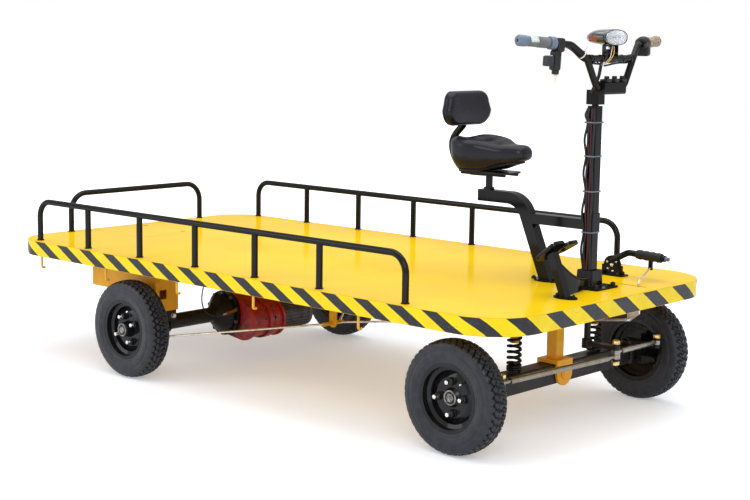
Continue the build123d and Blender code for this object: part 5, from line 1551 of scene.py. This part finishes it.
@dataclass
class Handlebar:
    """Grips, throttle, switches, key, headlamp, wires and fixings of the handlebar."""

    middle: float = 100
    end: tuple = (1010.0, 390.0, 1262.0)
    shoulder: tuple = (1066.0, 190.0, 1250.0)
    brace: tuple = (1087.0, 132.0, 1207.0)
    clamp: tuple = (1105.0, 44.0, 1141.0)
    bar_radius: float = 11
    grip_radius: float = 17
    lamp: tuple = (1108.0, 100.0, 1274.0)
    lamp_half: tuple = (67.0, 27.0)

    def place(self, point: tuple, side: int) -> Array:
        """A point of the left half, on the left (1) or right (-1) side."""
        return np.array([point[0], self.middle + side * point[1], point[2]])

    def along(self, side: int) -> tuple[Array, Array]:
        """The bar's end, and a turn whose x, y and z run ahead, up and inward along the bar there."""
        end = self.place(self.end, side)
        return end, axes_along(self.place(self.shoulder, side) - end) * np.array([side, 1, 1])

    def add(self, name: str, shells: list[Shell], finish: Finish, slot: Slot = Slot.PLASTIC, node: str = "",
            crease: float = 38.0) -> None:
        """A piece that turns with the handlebar, in place of a CAD node where one is named."""
        piece(name, shells, finish, slot, "steering", (node,) if node else (), crease)

    def throttle(self) -> None:
        """Right grip: a turning sleeve with a round end, a pale gauge window and a ribbed part.

        The sleeve's radius is the grip's less 0.8, plus ribs that are the upper halves of a sine wave.
        """
        end, turn = self.along(-1)
        h = np.linspace(33, 117, 253)
        wave = np.maximum(0, np.sin(2 * np.pi * h / 5.6))
        ribs = 1.1 * wave * smoothstep(h, 70, 74) * falling(h, 107, 110)
        sleeve = revolved(np.vstack([[(11.4, 33)], np.stack([self.grip_radius - 0.8 + ribs, h], axis=-1),
                                     [(11.4, 117)]]), 44)
        cap = revolved([(4, -2), (4.6, -3.6), (12, -3.8), (15.4, -2.6), (17.4, 0.4), (18, 5), (17.8, 20),
                        (17, 30), (16, 33), (11.4, 33)], 44)
        socket = hexagon(8, 1.6).placed((0, 0, -3.2), axes_along((0, 0, -1)))
        ring_part = revolved([(11.4, 119), (19, 119), (20.4, 120.4), (20.6, 129), (19.4, 130), (20.6, 131),
                              (20.4, 139.6), (19, 141), (11.4, 141)], 44)
        out = unit(np.array([0.8, 0.6, 0.0]))
        face = np.stack([np.array([0.0, 0.0, 1.0]), np.cross(out, [0, 0, 1]), out], axis=1)
        window = rounded_box((31, 23, 9), 3.5).placed(13.2 * out + np.array([0, 0, 54]), face)
        self.add("throttle_sleeve", [sleeve.placed(end, turn)], Finish.GRIP, Slot.GRIP, "grip_right")
        self.add("throttle_cap", [cap.placed(end, turn), ring_part.placed(end, turn)], Finish.SLATE,
                 Slot.GRIP)
        self.add("throttle_socket", [socket.placed(end, turn)], Finish.PLASTIC)
        self.add("throttle_window", [window.placed(end, turn)], Finish.WINDOW, Slot.GRIP)

    def key_switch(self) -> None:
        """Perch beside the throttle with the key switch that hangs from it, its socket and its key."""
        end, turn = self.along(-1)
        dark = [rounded_box((42, 44, 28), 8).placed((0, -4, 157)),
                rounded_box((32, 62, 26), 6).placed((2, -52, 148)),
                revolved([(0.5, 0), (11, 0), (11.5, 2), (11.5, 12), (10, 13.5), (0.5, 13.5)], 32).placed(
                    (2, -82, 151), axes_along((0, -1, 0), (0, 0, 1)))]
        light = [rounded_box((28, 32, 26), 4).placed((3, -56, 120))]
        top = [rounded_box((20, 4, 18), 1.6).placed((3, -39.5, 120))]
        key = [rounded_box((2.2, 26, 8), 1.0).placed((2, -108, 152)),
               rounded_box((3.4, 12, 17), 1.6).placed((2, -100, 151))]
        for name, shells, finish, slot in (
                ("key_switch", dark, Finish.PLASTIC, Slot.PLASTIC),
                ("key_socket", light, Finish.BATTERY, Slot.PLASTIC),
                ("key_label_plate", top, Finish.WINDOW, Slot.PLASTIC),
                ("key_blade", key, Finish.ZINC, Slot.ZINC)):
            self.add(name, [shell.placed(end, turn) for shell in shells], finish, slot,
                     "switch_housings" if name == "key_switch" else "")

    def left_side(self) -> None:
        """Left grip of speckled foam, and the domed switch housing with its box, button and lever."""
        end, turn = self.along(1)
        r = self.grip_radius
        foam = revolved([(0.5, -4), (r - 1, -4), (r + 2, -2.8), (r + 2.6, 0), (r + 2, 2.4), (r + 0.4, 4.5),
                         (r - 0.4, 12), (r + 0.5, 40), (r + 0.7, 66), (r + 0.4, 96), (r - 0.2, 122),
                         (r - 1.5, 127.5), (11.4, 128)], 44)
        bulge = [(11.4, 131), (18, 131.4), (22.6, 134), (24.8, 139), (25.4, 146), (25, 156), (23, 164),
                 (18, 170), (11.4, 171)]
        button = revolved([(0.5, 0), (9, 0), (9.6, 3), (8, 6), (0.5, 6.6)], 28)
        dome = [revolved(bulge, 48), rounded_box((44, 32, 34), 8).placed((2, -24, 151)),
                button.placed((-19, 6, 150), axes_along((-1, 0.3, 0)))]
        arm = smooth_path([(12, 4, 158), (22, 2, 172), (26, -2, 192), (25, -4, 206)], 8)
        lever = [tube(arm, 4.4, np.linspace(1.2, 0.85, len(arm))), revolved(
            [(0.4, -6), (4.4, -4.4), (6, 0), (4.4, 4.4), (0.4, 6)], 20).placed((25, -4, 206))]
        rocker = [rounded_box((5, 10, 16), 2).placed((-21, -26, 151))]
        for name, shells, finish, slot, node in (
                ("foam_grip", [foam], Finish.FOAM, Slot.GRIP, "grip_left"),
                ("switch_dome", dome + lever, Finish.PLASTIC, Slot.PLASTIC, ""),
                ("switch_rocker", rocker, Finish.SLATE, Slot.PLASTIC, "")):
            self.add(name, [shell.placed(end, turn) for shell in shells], finish, slot, node)

    def lamp_oval(self, scale: Array, back: Array, drop: Array, count: int = 72) -> Array:
        """Ovals of the lamp, squared off: y and z are the half sizes times |cos|^0.86 and |sin|^0.86.

        Args:
            scale: Share of the half sizes across and up, for each oval.
            back: Place of each oval along x.
            drop: Shift of each oval along z.
            count: Points round an oval.

        Returns:
            Points, one row for each oval, round the lamp's place.
        """
        angle = np.linspace(0, 2 * np.pi, count, endpoint=False)
        y, z = (np.sign(wave) * np.abs(wave) ** 0.86 * half
                for wave, half in zip((np.cos(angle), np.sin(angle)), self.lamp_half))
        grid = np.stack([np.broadcast_to(back[:, None], (len(scale), count)), scale[:, :1] * y[None],
                         scale[:, 1:] * z[None] + drop[:, None]], axis=-1)
        return grid + np.array(self.lamp)

    def headlamp(self) -> None:
        """Lamp: a shell that swells behind its mouth and narrows to its tail, a bowl and a bulged lens.

        The bowl's depth falls as 1 - rho squared with a small wave round and outward; the lens bulges as
        (1 - rho squared) and carries flutes on its inner face.
        """
        # Ovals: back, share across, share up, drop
        key = np.array([(-13, 0.86, 0.82, 0), (-2, 0.87, 0.83, 0), (0, 0.90, 0.87, 0), (0, 0.95, 0.93, 0),
                        (-3, 0.99, 0.98, 0), (-9, 1, 1, 0), (-34, 0.97, 1, 0), (-60, 0.86, 0.92, 0),
                        (-82, 0.66, 0.74, -1.5), (-96, 0.42, 0.48, -3), (-103, 0.1, 0.12, -4)], float)
        rows = np.vstack([key[:5], smooth_path(key[5:], 6)])
        shell = Shell.grid(self.lamp_oval(rows[:, 1:3], rows[:, 0], rows[:, 3]), wrap_columns=True,
                           capped=True)
        rho = np.linspace(0.03, 0.98, 26)
        oval = self.lamp_oval(0.86 * rho[:, None] * np.ones((1, 2)), np.zeros(26), np.zeros(26))
        angle = np.linspace(0, 2 * np.pi, 72, endpoint=False)[None]
        bowl = oval.copy()
        facets = 0.8 * np.cos(18 * angle) * np.sin(7 * np.pi * rho[:, None])
        bowl[..., 0] += -2.5 - 9 * (1 - rho[:, None] ** 2) + facets
        back = self.lamp_oval(np.array([[0.84, 0.84], [0.03, 0.03]]), np.array([-12.5, -12.5]), np.zeros(2))
        reflector = Shell.grid(np.concatenate([bowl, back]), wrap_columns=True, capped=True)
        front, inner = oval.copy(), oval[::-1].copy()
        front[..., 0] += 1 + 8 * (1 - rho[:, None] ** 2)
        flutes = 0.45 * np.cos(inner[..., 1] * 2 * np.pi / 8) * np.cos(inner[..., 2] * 2 * np.pi / 8)
        inner[..., 0] += -1.4 + 8 * (1 - rho[::-1, None] ** 2) + flutes
        lens = Shell.grid(np.concatenate([front, inner]), wrap_columns=True, capped=True)
        self.add("lamp_shell", [shell], Finish.LAMP_SHELL, Slot.PLASTIC, "headlamp", 50)
        self.add("lamp_reflector", [reflector], Finish.BRIGHT, Slot.ZINC, crease=20)
        self.add("lamp_lens", [lens], Finish.LENS, Slot.LENS, "headlamp_lens", 60)
        amber = []
        for side in (1, -1):
            run = unit(np.array([-1.0, -0.34 * side, 0.0]))
            out = unit(np.array([-0.34, side, 0.0]))
            turn = np.stack([run, out, np.array([0, 0, 1.0])], axis=1)
            at = np.array(self.lamp) + np.array([-52, side * 55.5, -4])
            amber.append(rounded_box((42, 11, 21), 5).placed(at, turn))
        self.add("lamp_indicators", amber, Finish.AMBER, Slot.LENS)

    def bracket(self) -> None:
        """Lamp bracket on the brace: two cheeks, a saddle round the tube and a bolt through each cheek."""
        x, _, z = self.brace
        cheeks = [rounded_box((36, 4, 56), 1.8).placed((x - 2, self.middle + side * 19, z + 25))
                  for side in (1, -1)]
        saddle = revolved([(11, -22), (14.5, -22), (15, -20), (15, 20), (14.5, 22), (11, 22)], 32).placed(
            (x, self.middle, z), axes_along((0, 1, 0)))
        floor_plate = rounded_box((34, 40, 5), 2).placed((x - 2, self.middle, z + 17))
        self.add("lamp_bracket", cheeks + [saddle, floor_plate], Finish.BLACK, Slot.BLACK)
        heads = [shell for side in (1, -1) for shell in
                 bolts([(x + 5, self.middle + side * 21, z + 34)], (0, side, 0), 10, 5)]
        self.add("lamp_bracket_bolts", heads, Finish.ZINC, Slot.ZINC)

    def bar_fixings(self) -> None:
        """Full thickness of the cross brace with its weld beads, and the clamp's three bolts."""
        x, half, z = self.brace
        wide = self.bar_radius
        profile = [(7, -half + 7), (wide, -half + 6), (wide, half - 6), (7, half - 7)]
        sleeve = revolved(profile, 32).placed((x, self.middle, z), axes_along((0, 1, 0)))
        beads = [weld_ring((x, self.middle + side * (half - 9), z), (0, 1, 0.35 * side),
                           self.bar_radius + 0.8, 4.5)
                 for side in (1, -1)]
        self.add("brace_tube", [sleeve] + beads, Finish.BLACK, Slot.BLACK)
        cap_screw = revolved([(0.5, 0), (7.8, 0), (8.2, 0.6), (8.2, 8.4), (7.4, 9.6), (4.2, 9.6), (3.9, 5),
                              (0.5, 5)], 32)
        jaws, heads = [], []
        for shift in (-1, 0, 1):
            at = np.array([self.clamp[0], self.middle + shift * self.clamp[1], self.clamp[2]])
            jaws.append(rounded_box((30, 27, 9), 3.5).placed(at - np.array([3, 0, 3])))
            heads.append(cap_screw.placed(at + np.array([0, 0, 1.2])))
        self.add("clamp_jaws", jaws, Finish.AXLE, Slot.AXLE)
        self.add("clamp_bolts", heads, Finish.RIM, Slot.BLACK)

    def wires(self) -> None:
        """Lamp cable and thin wires tied to the bar, and the ties that hold them."""
        x, _, z = self.brace
        m = self.middle
        # Lines: points along the middle, radius
        black = [([(x - 4, m - 2, z + 40), (x - 20, m - 10, z + 12), (x - 26, m - 14, z - 22),
                   (x - 30, m - 20, z - 60), (x - 42, m - 25, z - 92), (x - 52, m - 25, z - 112)], 5.5),
                 ([(x + 4, m - 24, z + 30), (x + 14, m - 44, z + 6), (x + 8, m - 70, z - 17),
                   (x - 2, m - 108, z - 6), (x - 10, m - 126, z + 16)], 2.6),
                 ([(1030, m - 222, 1252), (1046, m - 200, 1246), (1060, m - 176, 1232), (1076, m - 150, 1206),
                   (x - 4, m - 122, z - 12), (x - 2, m - 84, z - 16), (x - 12, m - 40, z - 18),
                   (x - 22, m - 16, z - 24)], 3.0),
                 ([(1040, m + 226, 1240), (1052, m + 196, 1236), (1072, m + 158, 1212),
                   (x - 12, m + 118, z - 13), (x - 12, m + 60, z - 15), (x - 22, m - 2, z - 24)], 3.0)]
        yellow = [([(x + 16, m - 6, z + 38), (x + 24, m - 18, z + 16), (x + 20, m - 34, z - 6),
                    (x + 8, m - 48, z - 17), (x - 4, m - 60, z - 15)], 1.6)]
        white = [([(x + 14, m - 12, z + 38), (x + 20, m - 26, z + 20), (x + 18, m - 30, z + 2),
                   (x + 6, m - 38, z - 14)], 1.6)]
        for name, lines, finish in (("bar_cables", black, Finish.CABLE),
                                    ("bar_wire_yellow", yellow, Finish.WIRE_YELLOW),
                                    ("bar_wire_white", white, Finish.TIE)):
            self.add(name, [tube(smooth_path(points, 9), radius, sides=12) for points, radius in lines],
                     finish)
        shoulder, corner = self.place(self.shoulder, -1), self.place(self.brace, -1)
        at = shoulder + 0.72 * (corner - shoulder)
        turn = axes_along(corner - shoulder)
        band = ring([(12.2, -2), (14.0, -2), (14.0, 2), (12.2, 2)], 40).placed(at, turn)
        head = rounded_box((6, 6, 7), 1.5).placed(at + turn @ np.array([0, 15, 0]), turn)
        tail = rounded_box((2, 17, 4), 0.8).placed(at + turn @ np.array([0, 24, 0]), turn)
        self.add("bar_tie", [band, head, tail], Finish.TIE)
        ties = [ring([(11.8, -2.2), (14.6, -2.2), (14.6, 2.2), (11.8, 2.2)], 32).placed(
            (x - 2, m + shift, z - 2), axes_along((0, 1, 0))) for shift in (-104, -58, 66, 112)]
        self.add("brace_ties", ties, Finish.CABLE)

    def build(self) -> None:
        """Both sides, the lamp and its bracket, fixings and wires."""
        self.throttle()
        self.key_switch()
        self.left_side()
        self.headlamp()
        self.bracket()
        self.bar_fixings()
        self.wires()


@dataclass
class ColumnCables:
    """Cables down the column's right face, with the ties round them."""

    x: float = 1035
    y: float = 77.7
    bottom: float = 517
    top: float = 1046
    radius: float = 4.0
    column_y: float = 100
    tie_levels: tuple = (640, 775, 890, 1000)

    def build(self) -> None:
        """Four cables that bow out between the ties as the square of a sine, and a band at each tie."""
        z = np.linspace(self.bottom, self.top, 160)
        levels = (self.bottom, *self.tie_levels, self.top)
        bow = np.sin(np.pi * (np.interp(z, levels, np.arange(len(levels))) % 1)) ** 2
        lines = []
        for shift, out, ahead in ((-13, 4.0, -6.0), (-4.6, 3.0, -3.0), (4.0, 1.0, 1.0), (12.4, 0.5, 0.0)):
            wave = 1.2 * np.sin(z / 37 + shift)
            lines.append(tube(np.stack([self.x + shift + ahead * bow + wave, self.y - out * bow, z], axis=-1),
                              self.radius, sides=12))
        piece("cables_black", [lines[0], lines[1], lines[3]], Finish.CABLE, Slot.PLASTIC, "frame",
              ("column_cables",))
        piece("cable_red", [lines[2]], Finish.CABLE_RED, Slot.PLASTIC)
        loop = np.array([(-20, -28), (20, -28), (21, 21), (-21, 21)], float)
        ties = []
        for level in self.tie_levels:
            path = evenly(loop, 96, closed=True)
            points = np.column_stack([path[:, 0] + self.x, path[:, 1] + self.column_y,
                                      np.full(len(path), float(level))])
            band = np.array([(-0.6, -2.1), (0.6, -2.1), (0.6, 2.1), (-0.6, 2.1)])
            ties.append(tube(points, band, closed=True, hint=(0, 0, 1)))
            ties.append(rounded_box((6, 5, 5), 1.2).placed((self.x - 12, self.column_y - 30, level)))
        piece("column_ties", ties, Finish.SLATE, Slot.PLASTIC)


@dataclass
class Controls:
    """Treads of the pedal and foot rest, the pedal's web, and the handbrake's grip, button and rivets."""

    pedal: tuple = (1050.0, -140.0, 597.0)
    pedal_up: tuple = (-0.64, 0.0, 0.77)
    rest: tuple = (891.0, 160.0, 560.0)
    rest_up: tuple = (-0.5, 0.0, 0.87)
    pad_size: tuple = (68.0, 100.0, 9.0)
    lever_pivot: tuple = (950.0, 365.0, 492.0)
    lever_elbow: tuple = (1012.0, 365.0, 542.0)
    lever_end: tuple = (1160.0, 365.0, 536.0)
    # Rivets: forward and up from the pivot, radius
    rivets: tuple = ((0, 0, 7), (-19, 10, 4.2), (-16, -14, 4.2), (4, -21, 4.2), (17, 13, 4.2))
    web_low: float = 461.0
    # Web's upper edge: its height at the base, its rise at the post, its power
    web_rise: tuple = (494, 84, 2.4)
    web_edge: float = 5.0

    def tread(self, name: str, centre: tuple, up: tuple) -> None:
        """Rubber tread over a pad: a thin rounded sheet with raised bars, shorter towards the round ends.

        Args:
            name: The piece's name.
            centre: Middle of the pad.
            up: Where the pad looks.
        """
        z = unit(np.array(up))
        x = np.array([0.0, 1.0, 0.0])
        turn = np.stack([x, np.cross(z, x), z], axis=1)
        wide, long, thick = self.pad_size
        shells = [rounded_box((wide - 3, long - 22, 4), 1.8).placed((0, 0, thick + 1)),
                  rounded_box((wide - 24, long - 3, 4), 1.8).placed((0, 0, thick + 0.9))]
        for shift in np.arange(-42, 43, 10.5):
            length = (wide - 10) * math.sqrt(max(0.1, 1 - (shift / 52) ** 4))
            shells.append(rounded_box((length, 5.2, 4.4), 1.6).placed((0, shift, thick + 3.4)))
        piece(name, [shell.placed(centre, turn) for shell in shells], Finish.PEDAL, Slot.PEDAL)

    def handbrake(self) -> None:
        """Ribbed grip and button on the lever, and rivets on its ratchet plate.

        The grip's radius swells and shrinks along it as a cosine with a finger's pitch.
        """
        run = unit(np.array(self.lever_end) - np.array(self.lever_elbow))
        turn = axes_along(run)
        start = np.array(self.lever_end) - 14 * run
        h = np.linspace(-97, -1, 120)
        fingers = 0.9 * np.cos(2 * np.pi * h / 24) * smoothstep(-h, 6, 14)
        radius = 16.2 - fingers + 0.25 * np.cos(2 * np.pi * h / 3)
        grip = revolved(np.vstack([[(11, -98)], np.stack([radius, h], axis=-1), [(15, 0.8), (8, 1.2)]]), 40)
        button = revolved([(7.0, 1), (7.5, 1.5), (7.5, 25), (6.4, 28.4), (3, 29.6), (0.4, 29.8)], 28)
        piece("handbrake_grip", [grip.placed(start, turn)], Finish.PLASTIC, Slot.PLASTIC)
        piece("handbrake_button", [button.placed(start, turn)], Finish.SLATE, Slot.PLASTIC)
        rivets = []
        px, py, pz = self.lever_pivot
        for side in (1, -1):
            face = axes_along((0, side, 0))
            for dx, dz, size in self.rivets:
                dome = revolved([(size, 0), (size * 0.94, 0.4 * size * 0.6), (0.6 * size, 0.48 * size),
                                 (0.05, 0.58 * size)], 20)
                rivets.append(dome.placed((px + dx, py + 4 * side, pz + dz), face))
        piece("handbrake_rivets", rivets, Finish.BRIGHT, Slot.ZINC)

    def web(self) -> None:
        """Web from the pedal's post to the column's base, with a rolled upper edge.

        Its upper edge falls from the post to the base as a power of the distance still to go. Its upright
        lines lean as the post does there, and stand straight at the base.
        """
        s = np.linspace(0, 1, 30)
        base, rise, power = self.web_rise
        low, high = np.full(len(s), self.web_low), base + rise * (1 - s) ** power
        y = -131 + 181 * s

        def lean(z: Array) -> Array:
            """Distance forward of the web's upright lines at a height."""
            return (1 - s) * (1052 + 0.38 * (597 - z)) + s * 1062

        corners = [(lean(z) + shift, z) for z, shift in ((low, -3), (low, 3), (high, 3), (high, -3))]
        grid = np.stack([np.stack([x, y, z], axis=-1) for x, z in corners], axis=1)
        plate = Shell.grid(grid, wrap_columns=True, capped=True)
        edge = tube(np.stack([lean(high), y, high], axis=-1), self.web_edge, sides=12, hint=(0, 0, 1))
        piece("pedal_web", [plate, edge], Finish.BLACK, Slot.BLACK)

    def build(self) -> None:
        """Treads, web and handbrake."""
        self.web()
        self.tread("pedal_tread", self.pedal, self.pedal_up)
        self.tread("foot_rest_tread", self.rest, self.rest_up)
        self.handbrake()


@dataclass
class Fixings:
    """Bolts of the foot plates and weld beads where tubes stand on the deck."""

    deck_top: float = 457
    column: tuple = (1035.0, 100.0)
    seat_foot: tuple = (868.0, 100.0)
    pedal_foot: tuple = (1110.0, -140.0)
    lever_foot: tuple = (950.0, 365.0)
    side_rail_y: float = 582
    # Places of the side rails' posts along the deck
    side_posts: tuple = (-1070, -765, -460, -155, 150, 455, 825)
    rear_rail: tuple = (-1195.0, 343.0)
    boot_half: float = 35

    def plate_bolts(self) -> None:
        """Bolts at each foot plate's corners."""
        # Foot plates: middle, bolts' places from it, plate's thickness, width across flats
        groups = ((self.column, 60, 50, 6, 15), (self.seat_foot, 38, 29, 6, 13),
                  (self.pedal_foot, 31, 0, 5, 11), (self.lever_foot, 33, 16, 5, 11))
        shells = []
        for (x, y), dx, dy, rise, across in groups:
            corners = sorted({(sx * dx, sy * dy) for sx in (-1, 1) for sy in (-1, 1)})
            spots = np.array([(x + a, y + b, self.deck_top + rise) for a, b in corners])
            shells += bolts(spots, (0, 0, 1), across, 0.55 * across, 3)
        piece("foot_plate_bolts", shells, Finish.RIM, Slot.BLACK)

    def rail_welds(self) -> None:
        """Weld bead round each rail post's foot, and round the column's boot."""
        spots = [(x, side * self.side_rail_y) for x in self.side_posts for side in (1, -1)]
        spots += [(self.rear_rail[0], side * self.rear_rail[1]) for side in (1, -1)]
        beads = [weld_ring((x, y, self.deck_top + 1.2), (0, 0, 1), 11.6, 4.2) for x, y in spots]
        (cx, cy), half = self.column, self.boot_half
        corners = [(cx + a * half, cy + b * half) for a, b in ((-1, -1), (1, -1), (1, 1), (-1, 1))]
        beads += [weld_line((*a, self.deck_top + 7.2), (*b, self.deck_top + 7.2), 4.5)
                  for a, b in zip(corners, corners[1:] + corners[:1])]
        piece("rail_welds", beads, Finish.BLACK, Slot.BLACK)

    def build(self) -> None:
        """Bolts and welds."""
        self.plate_bolts()
        self.rail_welds()


@dataclass
class RearAxle:
    """Bolts, seams and nuts of the rear axle, gear case and motor."""

    axle: tuple = (-535.0, 181.0)
    motor: tuple = (-440.0, 155.0)
    banjo_face: float = -109
    banjo_bolt_radius: float = 81
    case_bolt_radius: float = 66
    motor_left: float = 240
    pad_front: float = -490
    pad_mid: float = 430.5
    # Seam between case and motor: radius, place across, thickness
    seam: tuple = (55.4, 86, 3.2)
    screw_circle: float = 45

    def case_bolts(self) -> None:
        """Bolts round the banjo's flange and at the lugs of the case's middle flange."""
        angle = np.radians(np.arange(10) * 36 + 18)
        r = self.banjo_bolt_radius
        ring_spots = np.stack([self.axle[0] + r * np.cos(angle), np.full(10, self.banjo_face),
                               self.axle[1] + r * np.sin(angle)], axis=-1)
        lug = np.radians(-110 + 40 * np.arange(5))
        r = self.case_bolt_radius
        shells = bolts(ring_spots, (0, -1, 0), 12, 7)
        for side in (1, -1):
            spots = np.stack([self.motor[0] + r * np.cos(lug), np.full(5, side * 20.0),
                              self.motor[1] + r * np.sin(lug)], axis=-1)
            shells += bolts(spots, (0, side, 0), 11, 7, 2)
        piece("case_bolts", shells, Finish.MOTOR, Slot.MOTOR)

    def motor_trim(self) -> None:
        """Bright seam ring between case and motor, and the end cover's screws."""
        radius, seam_y, thick = self.seam
        at = (self.motor[0], seam_y, self.motor[1])
        seam = ring(bead(radius, 0, thick), 72).placed(at, axes_along((0, 1, 0)))
        angle = np.radians(45 + 90 * np.arange(4))
        across, up = self.screw_circle * np.cos(angle), self.screw_circle * np.sin(angle)
        spots = np.stack([self.motor[0] + across, np.full(4, self.motor_left), self.motor[1] + up], axis=-1)
        piece("motor_seam", [seam], Finish.BRIGHT, Slot.ZINC)
        piece("motor_screws", bolts(spots, (0, 1, 0), 10, 6), Finish.ZINC, Slot.ZINC)

    def pad_bolts(self) -> None:
        """Bright nuts on the front of the axle pads."""
        spots = np.array([(self.pad_front, side * (self.pad_mid + shift), 215)
                          for side in (1, -1) for shift in (-28, 28)])
        piece("pad_nuts", bolts(spots, (1, 0, 0), 15, 9, 4), Finish.ZINC, Slot.ZINC)

    def build(self) -> None:
        """Case, motor and pads."""
        self.case_bolts()
        self.motor_trim()
        self.pad_bolts()


def main() -> None:
    """Builds the studio, dresses the CAD nodes and adds each sub-assembly's own pieces."""
    logging.basicConfig(level=logging.INFO, format="%(message)s")
    Studio().build()
    BreatherHose().build()
    dress_nodes()
    Deck().build()
    wheels = (Wheel("front_left", 978, 519, 1, 3, 24), Wheel("front_right", 978, 519, -1, 3, 24),
              Wheel("rear_left", -535, 563, 1, 27, 44), Wheel("rear_right", -535, 563, -1, 27, 44))
    for part in (*wheels, FrontAxle(), Saddle(), Handlebar(), ColumnCables(), Controls(), Fixings(),
                 RearAxle()):
        part.build()


if __name__ == "__main__":
    main()
